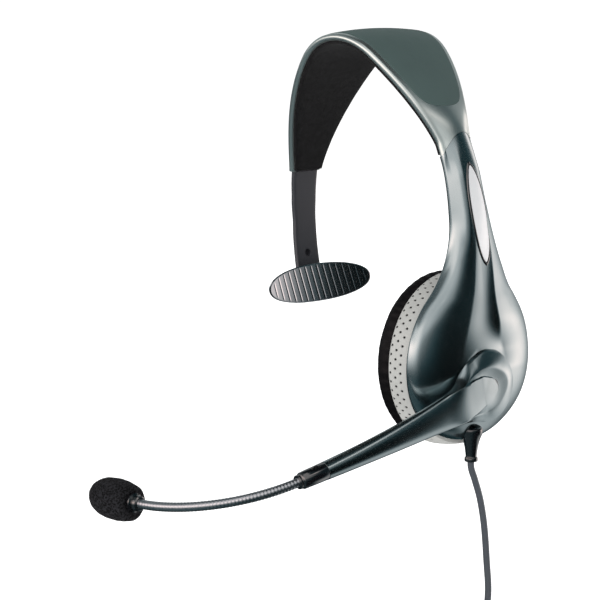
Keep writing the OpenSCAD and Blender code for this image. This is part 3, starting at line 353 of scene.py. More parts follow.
black_skin = soft_skin("black_skin", (0.003, 0.0025, 0.003), 0.55)
mic_foam = open_foam("mic_foam", (0.0042, 0.0042, 0.0048))
goose_metal = brushed("goose_metal", (0.56, 0.58, 0.61), 0.3)
cord_jacket = moulded("cord_jacket", (0.068, 0.076, 0.088), 0.36, grain_mm=0.4, depth=0.012)
bright_steel = brushed("bright_steel", (0.62, 0.63, 0.64), 0.26)
warm_brass = brushed("warm_brass", (0.72, 0.52, 0.22), 0.24)
ear_mesh = woven("ear_mesh", (0.03, 0.03, 0.032), 0.5)
strap_cloth = woven("strap_cloth", (0.02, 0.02, 0.022), 0.4)
board_green = moulded("board_green", (0.03, 0.13, 0.06), 0.35)
magnet_grey = moulded("magnet_grey", (0.1, 0.1, 0.11), 0.4, 0.8)


# Modelling helpers

def only(obj):
    bpy.ops.object.select_all(action="DESELECT")
    obj.select_set(True)
    bpy.context.view_layer.objects.active = obj


def named(name):
    """The piece just made, under its name"""
    obj = bpy.context.object
    obj.name = obj.data.name = name
    return obj


def edit(obj, action="SELECT"):
    only(obj)
    bpy.ops.object.mode_set(mode="EDIT")
    bpy.ops.mesh.select_all(action=action)


def end_edit():
    bpy.ops.object.mode_set(mode="OBJECT")


def clean_mesh(obj, fill=False):
    """Merges seams and poles, closes open ends when asked, and turns every face outwards"""
    edit(obj)
    bpy.ops.mesh.remove_doubles(threshold=2e-6)
    bpy.ops.mesh.dissolve_degenerate(threshold=1e-7)
    if fill:
        bpy.ops.mesh.select_all(action="SELECT")
        bpy.ops.mesh.fill_holes(sides=0)
    bpy.ops.mesh.select_all(action="SELECT")
    bpy.ops.mesh.normals_make_consistent(inside=False)
    end_edit()


def formed(name, along, across, place, fill=False):
    """Grid whose corners are moved to place(u, v), with u and v from 0 to 1"""
    bpy.ops.mesh.primitive_grid_add(x_subdivisions=along, y_subdivisions=across, size=2)
    obj = named(name)
    for corner in obj.data.vertices:
        corner.co = Vector(place((corner.co.x + 1) / 2, (corner.co.y + 1) / 2)) * MM
    clean_mesh(obj, fill)
    return obj


def turned(name, profile, at, axis, sides=64):
    """Profile of (along, radius) points spun round an axis"""
    axis = Vector(axis).normalized()
    side = axis.orthogonal().normalized()
    spots = [(Vector(at) + axis * a + side * r) * MM for a, r in profile]
    bpy.ops.mesh.primitive_plane_add(size=MM)
    obj = named(name)
    edit(obj)
    bpy.ops.mesh.merge(type="CENTER")
    bpy.ops.transform.translate(value=spots[0])
    for a, b in zip(spots, spots[1:]):
        bpy.ops.mesh.extrude_region_move(TRANSFORM_OT_translate={"value": b - a})
    bpy.ops.mesh.select_all(action="SELECT")
    bpy.ops.mesh.spin(steps=sides, angle=TAU, center=Vector(at) * MM, axis=axis)
    end_edit()
    clean_mesh(obj)
    return obj


def apply(obj, kind, **settings):
    only(obj)
    modifier = obj.modifiers.new(kind.lower(), kind)
    for key, value in settings.items():
        setattr(modifier, key, value)
    bpy.ops.object.modifier_apply(modifier=modifier.name)


def thicken(obj, depth, offset=-1.0, outward=None, even=True):
    """Gives a sheet its thickness, after turning its face outward"""
    if outward and sum((face.normal * face.area for face in obj.data.polygons), Vector()).dot(Vector(outward)) < 0:
        edit(obj)
        bpy.ops.mesh.flip_normals()
        end_edit()
    apply(obj, "SOLIDIFY", thickness=depth * MM, offset=offset, use_even_offset=even)


def round_edges(obj, width, segments=2, angle=35):
    apply(obj, "BEVEL", width=width * MM, segments=segments, limit_method="ANGLE",
          angle_limit=math.radians(angle))


def cut(obj, tool):
    apply(obj, "BOOLEAN", operation="DIFFERENCE", object=tool, solver="EXACT")
    bpy.data.objects.remove(tool)


def joined(name, *objs):
    bpy.ops.object.select_all(action="DESELECT")
    for obj in objs:
        obj.select_set(True)
    bpy.context.view_layer.objects.active = objs[0]
    bpy.ops.object.join()
    return named(name)


def put(obj, body, material, stands_for, angle=35):
    """Smooths a piece, gives it its material, and lets it ride on its body when one is given"""
    only(obj)
    bpy.ops.object.shade_smooth_by_angle(angle=math.radians(angle))
    obj.data.materials.clear()
    obj.data.materials.append(material)
    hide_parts(*stands_for)
    if body:
        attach(obj, body)


# Camera and floor

def make_camera():
    """Camera fitted to the photo"""
    bpy.ops.object.camera_add(location=(0.5855, -0.6263, 0.1447),
                              rotation=(math.radians(90 - 8.5), 0, math.radians(45)))
    camera = bpy.context.object
    camera.name = "photo_camera"
    camera.data.lens, camera.data.sensor_width = 145.7, 36
    camera.data.clip_start, camera.data.clip_end = 0.05, 100
    bpy.context.scene.camera = camera


def make_floor():
    """White ground that gloss doesn't see"""
    bpy.ops.mesh.primitive_plane_add(size=60, location=(0, 0, (coil_low - cord_d / 2 - 1.2) * MM))
    floor = bpy.context.object
    floor.name = "floor"
    pale = Finish("floor_pale", (0.9, 0.9, 0.9), 0.9, emission_color=(1, 1, 1, 1), emission_strength=0.6)
    floor.data.materials.append(pale.material)
    floor.visible_glossy = False


# Cord: hanging run, tied coil and tail, as one tube

def spline(p, k):
    """Smooth points through a route, k for each of its spans"""
    made = []
    for i in range(len(p) - 1):
        a, b, c, d = p[max(0, i - 1)], p[i], p[i + 1], p[min(len(p) - 1, i + 2)]
        for j in range(k):
            t = j / k
            made.append(0.5 * (2 * b + (c - a) * t + (2 * a - 5 * b + 4 * c - d) * t**2
                               + (3 * b - a - 3 * c + d) * t**3))
    return made + [p[-1]]


def coil_point(t):
    """Place on the coil after t turns, which wind in and out in layers"""
    turns = coil_turns / coil_layers
    low_r, high_r = coil_mean - turns * coil_step / 2, coil_mean + turns * coil_step / 2
    wave = abs((t / turns) % 2 - 1)
    k = round(t / turns)
    d = t - k * turns
    if k in (0, coil_layers):
        climb = 0 if k == 0 else coil_layers - 1
    else:
        climb = k - 1 + min(1, max(0, 2 * d + 0.5))
    r, a = low_r + (high_r - low_r) * wave, math.radians(90) + TAU * t
    return Vector((coil_c[0] + r * math.cos(a), coil_c[1] + r * math.sin(a), coil_low + coil_step * climb))


def make_cord():
    start, end = coil_point(0), coil_point(coil_turns)
    x, y = relief
    drop = [(x, y, relief_top - 1), (x, y, relief_top - 9), (x, y, relief_end - 2), (44.4, 0.8, -42),
            (42.6, 5.8, -50), (41, 10, -60.5), (39.5, 13.3, -74), (38.5, 15.5, -87), (36, 15.8, -98),
            (30, 12.8, -106.5), (22, 9.2, -109.6), (15, start.y, coil_low), tuple(start)]
    tail = [tuple(end), (4, end.y, end.z), (-5, 6.6, -102.4), (-14, 4.2, -105), (-21, -1, -107.2), (-25, -8, -108),
            (plug_x, -14, plug_z), (plug_x, -17, plug_z), (plug_x, grip_y + cuff_len - 3, plug_z)]
    coil = [coil_point(i / loop_points) for i in range(1, coil_turns * loop_points)]
    route = spline([Vector(p) for p in drop], 6) + coil + spline([Vector(p) for p in tail], 6)
    curve = bpy.data.curves.new("cord", "CURVE")
    curve.dimensions = "3D"
    curve.bevel_depth, curve.bevel_resolution = cord_d / 2 * MM, 4
    curve.use_fill_caps = True
    line = curve.splines.new("POLY")
    line.points.add(len(route) - 1)
    for point, spot in zip(line.points, route):
        point.co = (*(spot * MM), 1)
    obj = bpy.data.objects.new("cord", curve)
    bpy.context.scene.collection.objects.link(obj)
    curve.materials.append(cord_jacket)
    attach(obj, "headset")
    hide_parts("cord_drop", "cord_coil", "cord_tail")
    length = sum((b - a).length for a, b in zip(route, route[1:])) * MM
    return obj, length


# Band

def band_turn(s, c_turn, c_r, side_r):
    """Turn of the band at s, past the crown's arc and along the side's"""
    bend = c_r * math.radians(c_turn)
    return s / c_r if s < bend else math.radians(c_turn) + (s - bend) / side_r


def band_point(s, n, y):
    """Point of the band: s along it from the crown, n outwards from its middle surface"""
    if s < 0:
        a = band_turn(-s, far_turn, crown_r, far_r)
        c, r, a = (crown_c, crown_r, -a) if a < math.radians(far_turn) else (far_c, far_r, -a)
    else:
        a = band_turn(s, near_turn, crown_r, near_r)
        c, r = (crown_c, crown_r) if a < math.radians(near_turn) else (near_c, near_r)
    return c[0] + (r + n) * math.sin(a), y, c[1] + (r + n) * math.cos(a)


def band_half(s):
    end, half = (far_len, far_half) if s < 0 else (near_len, near_half)
    return half + (crown_half - half) * math.cos(math.pi / 2 * min(1, abs(s) / end)) ** 1.2


def band_top(y, half):
    """Height of the band's outer face, more crowned towards its narrow ends"""
    crown = band_fall + 1.3 * ease((14 - half) / 5)
    return band_out - band_fall + crown * (1 - min(1, abs(y) / (half - band_in)) ** 2)


def seam_shift(y, half):
    """The seam between band and neck is an arch: low at its front edge, high from its middle to its rear edge"""
    t = (y - 1.8) / (half + 1.8 if y < 1.8 else half - 1.8)
    return -2.6 + (6.9 if y < 1.8 else 2.0) * min(1, t * t)


channel_high = -far_len + far_r * math.radians(28)


def band_section(s):
    """Section of the band from its inner face round its full-round edges, with the arm's channel"""
    half = band_half(s)
    flat, groove = half - band_in, tongue_w / 2 + 0.2
    depth = arm_t / 2 + 0.2 if s < channel_high else -band_in
    under = [(-flat, -band_in), (-groove, -band_in), (-groove + 0.01, depth), (0, depth), (groove - 0.01, depth),
             (groove, -band_in), (flat, -band_in)]
    arc = [math.radians(-90 + 180 * i / 8) for i in range(1, 8)]
    right = [(flat + band_in * math.cos(a), band_in * math.sin(a)) for a in arc]
    top = [(flat * (1 - i / 12), band_top(flat * (1 - i / 12), half)) for i in range(25)]
    left = [(-y, n) for y, n in reversed(right)]
    return under + right + top + left


def make_band():
    count = len(band_section(0))
    rows = 150

    def place(u, v):
        s = -far_len + (far_len + near_len) * u
        if abs(s - channel_high) < 0.5 * (far_len + near_len) / rows:
            s = channel_high + 0.02
        at = round(v * count) % count
        y, n = band_section(s)[at]
        if u > 0.75:
            s += seam_shift(y, band_half(s)) * ((u - 0.75) / 0.25) ** 2
            y, n = band_section(s)[at]
        return band_point(s, n, y)

    obj = formed("headband", rows, count, place, fill=True)
    put(obj, "headset", silver_plastic, ["headband_shell"], 40)


def make_inlay():
    def place(u, v):
        s = inlay_reach * math.sin(math.pi / 2 * (2 * u - 1))
        full = (band_half(s) - rim_w) * max(0, 1 - abs(s / inlay_reach) ** 18) ** 0.4
        y = full * (2 * v - 1)
        return band_point(s, band_top(y, band_half(s)) + 0.1, y)

    obj = formed("band_inlay", 110, 24, place)
    thicken(obj, 0.7, outward=(0, 0, 1), even=False)
    round_edges(obj, 0.12)
    put(obj, "headset", inlay_plastic, ["headband_inlay"])


def make_felt():
    """Felt-covered foam under the band, crowned across and drawn in at its sewn edge"""
    def place(u, v):
        s = mix(-far_len + 0.8, near_len + 3.2, u)
        half = band_half(s) - 0.9
        a = TAU * v
        y = half * signed_power(math.cos(a), 0.35)
        swell = abs(math.sin(a)) ** 0.5
        fuzz = noise.noise(Vector((s, y * 1.3, a)) * 0.35) * 0.07
        low = -band_in - 0.3 - (felt_t - 1.0) * swell + fuzz * swell
        return band_point(s, low if math.sin(a) < 0 else -band_in - 0.05, y)

    obj = formed("band_pad", 170, 44, place, fill=True)
    put(obj, "headset", band_felt, ["headband_pad"], 60)


# Ear cup

# Sides and depth of the hollow below the badge, by height
left_crease = [(-36, -15), (0, -13.2), (5, -12), (9, -11), (17.6, -7.7), (26, -5), (33, -3.7), (41, -2.6), (50, -3.2),
               (62, -3.6), (80, -3.2)]
right_crease = [(-36, 13), (1.6, 10), (10.6, 7.4), (21, 5.4), (32, 4.6), (41, 4.4), (50, 4), (62, 3.6), (80, 3.2)]
hollow_depth = [(-3, 0), (4, 1.1), (10, 1.15), (20, 0.75), (30, 0.55), (40, 0.38), (48, 0.12), (54, 0)]


def cup_point(z, n, y):
    """Point over the joint of the cup's halves; above the neck's foot z runs along the band's arc"""
    if z < neck_foot:
        return joint_x + n, y, z
    a = (z - neck_foot) / near_r
    return near_c[0] + (near_r + n) * math.cos(a), y, near_c[1] + (near_r + n) * math.sin(a)


def cup_half(z):
    if z < circle_end:
        return math.sqrt(max(0, cup_r**2 - z * z))
    if z < fillet_z:
        return fillet_y - math.sqrt(fillet_r**2 - (z - fillet_z) ** 2)
    half = mix(neck_half, neck_top_half, (z - fillet_z) / (neck_top - fillet_z))
    return half + (near_half - neck_top_half) * ease((z - neck_top + 10) / 10)


def flank(z, y):
    """The rear side of the neck's foot flares a little more than the front side"""
    flare = ease((z - 18) / 16) * ease((60 - z) / 24)
    return y + 3.0 * flare * max(0, y / cup_half(z)) if flare > 0 else y


def foot(z):
    """The shell stops a little short of the cushion at its lower end"""
    return z * (1 - 0.1 * ease(-z / 26))


def dome_at(z):
    if z < 0:
        return dome_h * math.sqrt(max(0, 1 - (z / cup_r) ** 2))
    return mix(dome_h, neck_front, ease(z / 62))


def skin(y, z):
    """Height of the shell's outer face over the joint: arched, with a flat front flank up the neck, the hollow
    below the badge, and the boom's seat"""
    half = max(cup_half(z), 1e-6)
    part = min(1, abs(y) / half)
    arched = math.sqrt(max(0, 1 - part * part))
    if y < 0 and z > 18:
        power = mix(2, 2.3, ease((z - 18) / 18))
        arched = max(0, 1 - part**power) ** (1 / power)
        flank_share, knee = 0.45, 0.3
        rise = (1 - part) / flank_share
        hipped = min(1, rise) - max(0, knee - abs(1 - rise)) ** 2 / (4 * knee)
        arched = mix(arched, hipped, ease((z - 36) / 16))
    n = dome_at(z) * arched
    toward_band = ease((z - neck_top + 12) / 12)
    if toward_band > 0:
        rim = mix(4.0, band_in, toward_band)
        edge = math.sqrt(max(0, 1 - (max(0, abs(y) - half + rim) / rim) ** 2))
        n = mix(n, band_top(y, half) * edge, toward_band)
    low, high = table(left_crease, z), table(right_crease, z)
    across = (y - low) / (high - low)
    if across > 0:
        walled = 2.1 * across * (1 - across**3) if across < 1 else 0
        open_end = 1.2 * across if across < 1 else 1.2 * max(0, half - y) / (half - high)
        n -= table(hollow_depth, z) * mix(open_end, walled, ease((z - 3) / 13))
    if math.hypot(y, z - pivot_z) < boss_r + 0.5:
        n = min(n, seat_x - joint_x - 0.05)
    return n


def cup_column(z, v):
    """Sideways place of a column that keeps to the two creases"""
    half = cup_half(z)
    if half < 1e-4:
        return 0.0
    low, high = (math.acos(max(-0.995, min(0.995, table(crease, z) / half))) for crease in (left_crease, right_crease))
    low_v, high_v = 0.4, 0.6
    if v < low_v:
        a = mix(math.pi, low, v / low_v)
    elif v < high_v:
        a = mix(low, high, (v - low_v) / (high_v - low_v))
    else:
        a = mix(high, 0, (v - high_v) / (1 - high_v))
    return half * math.cos(a)


def cup_row(u):
    """Height of a row: close together at the foot of the cup, even up the neck"""
    low_share = 0.35
    if u < low_share:
        return -cup_r * math.cos(math.pi / 2 * u / low_share)
    return neck_top * (u - low_share) / (1 - low_share)


def near_seam(u):
    """Grows from 0 to 1 over the last fifth of the rows, below the seam with the band"""
    return max(0, (u - 0.8) / 0.2) ** 2


def make_outer_shell():
    def place(u, v):
        z = cup_row(u)
        y = cup_column(z, v)
        n = skin(y, z)
        half = max(cup_half(z), 1e-6)
        y = flank(z, y)
        z += (-seam_shift(y, half) - 0.12) * near_seam(u)
        return cup_point(foot(z), n, y)

    obj = formed("cup_shell", 150, 100, place)
    thicken(obj, 1.5, outward=(1, 0, 0), even=False)
    put(obj, "headset", shell_paint, ["outer_shell"], 24)


def make_inner_cover():
    def place(u, v):
        z = cup_row(u) - 4.2 * near_seam(u)
        a = math.pi * v
        back = (neck_back - cover_t) * ease((z - cushion_r) / (fillet_z - cushion_r))
        back *= mix(1, 0.35, ease((z - 50) / 18))
        round_in = min(1, math.sin(a) * 4) ** 0.5
        return cup_point(foot(z), -(cover_t + back * math.sin(a)) * round_in, flank(z, cup_half(z) * math.cos(a)))

    obj = formed("cup_cover", 110, 60, place)
    speaker_hole_r = 19.6
    edit(obj, "DESELECT")
    end_edit()
    for face in obj.data.polygons:
        face.select = math.hypot(face.center.y, face.center.z) < speaker_hole_r * MM
    bpy.ops.object.mode_set(mode="EDIT")
    bpy.ops.mesh.delete(type="FACE")
    end_edit()
    thicken(obj, 0.7, outward=(-1, 0, 0), even=False)
    put(obj, "headset", shell_paint, ["inner_cover"], 40)


def lens(t, half_w):
    return max(0.0, 1 - t * t) ** 0.65 * half_w


def badge_middle(z):
    return 1.3 + 0.075 * (badge_z - z)


def make_badge():
    """Bare lens-shaped plate in a raised black rim"""
    def plate(u, v):
        t = math.sin(math.pi / 2 * (2 * u - 1))
        z = badge_z + (badge_len / 2 - 1.6 * bezel_w) * t
        across = 2 * v - 1
        y = lens(t, badge_w / 2 - 1.1 * bezel_w) * across + badge_middle(z)
        return cup_point(z, skin(y, z) + 0.22 + 0.12 * (1 - across * across), y)

    obj = formed("badge_plate", 120, 48, plate)
    thicken(obj, 0.7, outward=(1, 0, 0), even=False)
    put(obj, "headset", badge_silver, ["badge_plate"])

    def rim(u, v):
        side = 1 if u < 0.5 else -1
        t = math.sin(math.pi / 2 * (4 * (u % 0.5) - 1)) * side
        grow = 1.3 * bezel_w * (1 - v)
        z = badge_z + (badge_len / 2 - 2 * bezel_w + 1.5 * grow) * t
        y = lens(t, badge_w / 2 - 1.3 * bezel_w + grow) * side + badge_middle(z)
        return cup_point(z, skin(y, z) + 0.34 * math.sin(math.pi * v) ** 0.6, y)

    obj = formed("badge_rim", 120, 8, rim)
    thicken(obj, 0.5, outward=(1, 0, 0), even=False)
    put(obj, "headset", gloss_black, ["badge_bezel"])


def make_cushion():
    lip_from, dent_depth, dent_r, puckers, cloth_r = 0.8, 0.45, 0.36, 56, 23.2

    def wall(u, v):
        """Side that widens towards the ear, with dents for its holes, and a lip over the ring in front"""
        a, side = TAU * u, min(1, v / lip_from)
        x = mix(wall_x - 0.9, cover_x + 0.08, side)
        rolled = 0.6 * max(0, 0.1 - side) / 0.1 + 0.3 * max(0, side - 0.9) / 0.1
        r = cushion_r + 0.1 - 1.1 * side**2 - rolled - 2.0 * max(0, v - lip_from) / (1 - lip_from)
        row = v * punch_rows
        du = ((u * punch_around + (math.floor(row) % 2) * 0.5) % 1 - 0.5) * TAU * cushion_r / punch_around
        dv = (row % 1 - 0.5) * cushion_t / (punch_rows - 1)
        if row < punched_rows:
            r -= dent_depth * ease(1.6 - math.hypot(du, dv) / dent_r)
        return x, r * math.cos(a), r * math.sin(a)

    obj = formed("cushion_side", 720, 45, wall)
    thicken(obj, 0.9)
    put(obj, "headset", pale_skin, ["cushion_wall"], 50)

    def ring(u, v):
        a, b = TAU * u, TAU * v
        pucker = 0.5 + 0.5 * math.cos(puckers * a + 1.6 * math.sin(5 * a) + 0.9 * math.sin(13 * a))
        slack = noise.noise(Vector((math.cos(a) * 4, math.sin(a) * 4, math.cos(b) * 1.2)))
        seam = 0.5 + 0.5 * math.cos(b)
        r = 0.92 * soft_r * (1 - (0.08 + 0.05 * slack) * pucker * seam + 0.03 * slack)
        out = soft_ring_r + r * math.sin(b)
        x = min(wall_x - 0.92, soft_x - r * math.cos(b + math.pi))
        return x, out * math.cos(a), out * math.sin(a)

    obj = formed("ear_ring", 528, 40, ring)
    put(obj, "headset", black_skin, ["ear_pad"], 60)

    def mesh_disc(u, v):
        a, r = TAU * u, cloth_r * v
        return wall_x - 0.8 - 0.35 * math.cos(math.pi / 2 * v), r * math.cos(a), r * math.sin(a)

    obj = formed("speaker_cloth", 72, 24, mesh_disc)
    thicken(obj, 0.3, outward=(-1, 0, 0))
    put(obj, "headset", ear_mesh, ["acoustic_mesh"])


# Boom and microphone

def boom_spot(x, u, w):
    """Point in the boom's own frame: x outwards, u along the boom, w across it"""
    c, s = math.cos(boom_slope), math.sin(boom_slope)
    return x, -u * c - w * s, pivot_z - u * s + w * c


def arm_lean(u):
    return 0.0 if u < lean_start else math.asin(min(1, (u - lean_start) / lean_r))


def arm_x(u):
    return boom_x - lean_r * (1 - math.cos(arm_lean(u)))


def goose_point(turn, ahead=0.0):
    """Place on the gooseneck's bend, as x and u of the boom's frame"""
    start = (arm_x(boom_len) - collar_len * math.sin(boom_lean), boom_len + collar_len * math.cos(boom_lean))
    return (start[0] + bend_r * (math.cos(turn) - math.cos(boom_lean)) - ahead * math.sin(turn),
            start[1] + bend_r * (math.sin(turn) - math.sin(boom_lean)) + ahead * math.cos(turn))


def goose_spot(turn):
    return Vector(boom_spot(*goose_point(turn), 0))


def boom_direction(turn):
    return Vector(boom_spot(-math.sin(turn), math.cos(turn), 0)) - Vector(boom_spot(0, 0, 0))


# Outline, shoulder's ridge and plateau's lip on the boom's face, as distances from its spine: by the place along
# the arm, and by the bearing round the nose, whose lines fan out from fan_u
fan_u = 6.0
boom_upper = [(6, 12.0), (9, 11.2), (14, 8.7), (20, 6.7), (28, 5.8), (40, 4.95), (52, 4.25), (65, 3.6), (78, 3.1)]
boom_lower = [(6, 10.8), (9, 9.7), (18, 7.2), (28, 5.8), (40, 4.95), (52, 4.25), (65, 3.6), (78, 3.1)]
ridge_upper = [(6, 8.1), (11, 7.3), (16, 5.95), (22, 5.6), (40, 4.0), (78, 2.5)]
ridge_lower = [(6, 7.2), (10, 6.3), (14, 5.75), (20, 5.4), (40, 4.0), (78, 2.5)]
lip_upper = [(6, 5.7), (10, 6.1), (16, 5.8), (22, 5.4), (40, 3.8), (78, 2.3)]
lip_lower = [(6, 4.4), (10, 5.1), (14, 5.4), (20, 5.2), (40, 3.8), (78, 2.3)]
boom_nose = [(-90, 10.8), (-75, 12.4), (-60, 14.4), (-30, 17.5), (0, 18.8), (30, 17.65), (60, 14.75), (75, 13.1),
             (90, 12.0)]
ridge_nose = [(-90, 7.2), (-68, 7.9), (-30, 11.4), (-8, 13.9), (6, 13.6), (27, 11.2), (60, 8.6), (90, 8.1)]
lip_nose = [(-90, 4.4), (-60, 5.0), (-31, 6.3), (-6, 8.0), (16, 7.4), (50, 5.8), (90, 5.7)]


def boom_station(a):
    """One line over the boom's face, from its spine to its outline: where it starts, its way, and how far it
    runs to the plateau's lip, the shoulder's ridge and the outline"""
    if abs(a - 0.5) < 1 / 6:
        phi = 540 * (a - 0.5)
        way = (-math.cos(math.radians(phi)), math.sin(math.radians(phi)))
        return fan_u, way, *(table(line, phi) for line in (lip_nose, ridge_nose, boom_nose))
    u = mix(fan_u, boom_len, ((abs(a - 0.5) - 1 / 6) * 3) ** 1.25)
    lines = (lip_lower, ridge_lower, boom_lower) if a < 0.5 else (lip_upper, ridge_upper, boom_upper)
    return u, (0, -1 if a < 0.5 else 1), *(table(line, u) for line in lines)


def make_boom():
    """Round shoulder, a terrace inside its ridge, and the arm's plateau standing out of the terrace"""
    lip_v, tread_v, ridge_v, edge_v = 0.2, 0.25, 0.4, 0.6

    def place(a, v):
        start, way, lip, ridge, reach = boom_station(a)
        tread = lip + 0.45
        ridge = max(tread + 0.05, ridge)
        riser, terrace = (v - lip_v) / (tread_v - lip_v), (v - tread_v) / (ridge_v - tread_v)
        shoulder = (v - ridge_v) / (edge_v - ridge_v)
        if v < lip_v:
            d = lip * v / lip_v
        elif v < tread_v:
            d = mix(lip, tread, riser)
        elif v < ridge_v:
            d = mix(tread, ridge, terrace)
        else:
            d = mix(ridge, reach, shoulder) if v < edge_v else reach * (1 - v) / (1 - edge_v)
        u, w = start + way[0] * d, way[1] * d
        thick = mix(2.0, 3.1, max(0, u) / boom_len)
        bow = thick * math.sqrt(max(0, 1 - (d / reach) ** 2))
        if v > edge_v:
            x = mix(boss_x, arm_x(u) - bow, ease((u - 12) / 10))
        else:
            plateau = mix(3.4, 5.2, ease((u + 6) / 30)) - 0.3 * min(1, d / lip) ** 2
            step = 0.6 * ease((17 - u) / 7)
            up = max(0, way[1])
            brow = mix(mix(2.3, 3.0, up), plateau - step - 0.05, ease((u - 3) / 12))
            if v <= tread_v:
                h = plateau - step * ease(riser)
            elif v <= ridge_v:
                h = mix(plateau - step, brow, terrace)
            else:
                h = mix(brow, mix(1.0, 0.2, up), shoulder ** mix(1.6, 1.25, up))
            x = mix(boss_x + h, arm_x(u) + bow, ease((u - 12) / 14))
        lean, out = arm_lean(u), x - arm_x(u)
        return boom_spot(arm_x(u) + out * math.cos(lean), u + out * math.sin(lean), w)

    obj = formed("boom_arm", 216, 60, place, fill=True)
    put(obj, "boom", shell_paint, ["boom_arm"], 30)


def make_collar():
    at = boom_spot(arm_x(boom_len), boom_len, 0)
    profile = [(-0.6, 0), (-0.6, 2.9), (0, 2.9), (0.25, 3.05), (6, 2.95), (9.2, 2.85), (9.7, 2.6), (9.9, 2.25),
               (10.3, 2.25), (10.5, 2.45), (collar_len, 2.35), (collar_len, 0)]
    obj = turned("boom_collar", profile, at, boom_direction(boom_lean))
    round_edges(obj, 0.15)
    put(obj, "boom", gloss_black, ["boom_collar"])


def make_gooseneck():
    steps = goose_ribs * 8

    def half(first, last, lead, tail):
        def place(u, v):
            k = u * (steps + 2) - 1
            t = min(1, max(0, k / steps))
            turn = mix(first, last, t)
            ahead = lead if k < 0 else tail if k > steps else 0
            r = goose_r - 0.3 * goose_groove * (0.5 - 0.5 * math.cos(TAU * goose_ribs * t))
            p, a = goose_point(turn, ahead), TAU * v
            return boom_spot(p[0] + r * math.cos(a) * math.cos(turn), p[1] + r * math.cos(a) * math.sin(turn),
                             r * math.sin(a))
        return place

    inset = 2 * goose_r - 0.1
    lower = formed("gooseneck_lower", steps + 2, 20, half(boom_lean, mid_turn, -inset, 0), fill=True)
    put(lower, None, goose_metal, ["gooseneck_lower"], 60)
    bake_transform(lower)
    upper = formed("gooseneck_upper", steps + 2, 20, half(mid_turn, mic_turn, 0, inset), fill=True)
    put(upper, None, goose_metal, ["gooseneck_upper"], 60)
    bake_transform(upper)


def make_microphone():
    at, along = goose_spot(mic_turn), boom_direction(mic_turn)
    obj = turned("mic_neck", [(0, 0), (0, 2.1), (0.3, 2.5), (1.2, 2.7), (1.5, 2.4), (2.0, 2.4), (2.4, 3.2),
                              (mic_neck_len, 3.6), (mic_neck_len, 0)], at, along)
    put(obj, "microphone", gloss_black, ["mic_neck"])
    side = along.orthogonal().normalized()
    up = along.cross(side).normalized()
    back, wide, nose, rim = 3.4, 12.8, foam_start + foam_len, 5.9
    rim_v, wide_v = 0.12, 0.6

    def foam(u, v):
        """Egg of foam, with a dished back round the neck"""
        a = TAU * u
        if v < rim_v:
            t = v / rim_v
            reach, r = back + 0.9 * (1 - t) ** 1.5 + 0.5 * t**8, mix(1.2, rim, t)
        elif v < wide_v:
            t = (v - rim_v) / (wide_v - rim_v)
            reach = mix(back + 0.5, wide, t)
            r = rim + (foam_r - rim) * math.sin(math.pi / 2 * t) + 0.25 * math.sin(math.pi * t)
        else:
            t = (v - wide_v) / (1 - wide_v)
            reach, r = wide + (nose - wide) * math.sin(math.pi / 2 * t), foam_r * math.cos(math.pi / 2 * t)
        out = side * math.cos(a) + up * math.sin(a)
        spot = at + along * reach + out * r
        spot.z += 0.6 - 1.0 * max(0, nose - reach) / (nose - back)
        out += along * max(0.0, v - wide_v) * 2.5
        return spot + out.normalized() * noise.noise(spot * 0.5) * 0.15 * min(1, r / 1.5)

    obj = formed("mic_foam", 120, 90, foam)
    thicken(obj, 1.2, even=False)
    put(obj, "microphone", mic_foam, ["mic_windscreen"], 80)


# Slider arm and temple pad

def arm_width(z):
    high = far_c[1] + far_r * math.sin(math.radians(90 - far_end_turn - 7))
    if z < waist_z:
        return mix(waist_w, foot_w, ease((waist_z - z) / (waist_z - hinge_z)))
    return mix(waist_w, tongue_w, ease((z - waist_z) / (high - waist_z)))


def make_slider():
    """Curved strip with trimmed edges and a blind hole, on the hinge's barrel"""
    low = math.asin((hinge_z + 2.2 - far_c[1]) / far_r)
    high = math.radians(90 - far_end_turn + 13.5)
    front_edge = [(18, -0.9), (30, -0.3), (38, 0), (50, 0.7), (57, 0.2), (60, 0)]
    rear_edge = [(18, -0.9), (40, 0.75), (49, 0.1), (60, 0)]

    def place(u, v):
        e = mix(low, high, u)
        z = far_c[1] + far_r * math.sin(e)
        a = TAU * v
        half = arm_width(z) / 2
        across = signed_power(math.cos(a), 0.18)
        y = half * across + mix(table(front_edge, z), table(rear_edge, z), (across + 1) / 2)
        n = (arm_t / 2 - 0.05) * signed_power(math.sin(a), 0.35)
        return far_c[0] - (far_r + n) * math.cos(e), y, far_c[1] + (far_r + n) * math.sin(e)

    strip = formed("arm_strip", 90, 48, place, fill=True)
    bpy.ops.mesh.primitive_cylinder_add(vertices=40, radius=1.1 * arm_hole_d / 2 * MM, depth=12 * MM,
                                        location=((hinge_x + 4.1) * MM, -0.2 * MM, arm_hole_z * MM),
                                        rotation=(0, math.pi / 2, 0))
    cut(strip, bpy.context.object)
    tip = [(-barrel_w / 2, 0), (-barrel_w / 2, barrel_r - 0.3), (-barrel_w / 2 + 0.3, barrel_r),
           (barrel_w / 2 - 0.3, barrel_r), (barrel_w / 2, barrel_r - 0.3), (barrel_w / 2, 0)]
    barrel = turned("arm_barrel", tip, (hinge_x, 0, hinge_z), (0, 1, 0), 48)
    obj = joined("slider_arm", strip, barrel)
    put(obj, "slider", arm_plastic, ["slider_arm"], 30)


def oval(a, inset):
    return ((pad_len / 2 - inset) * signed_power(math.cos(a), oval_power),
            (pad_h / 2 - inset) * signed_power(math.sin(a), oval_power))


def pad_dish(y):
    """The pad bends inwards to its two ends, more at the rear"""
    t = 2 * y / pad_len
    return 1.6 * t * t + 0.45 * t - 0.3


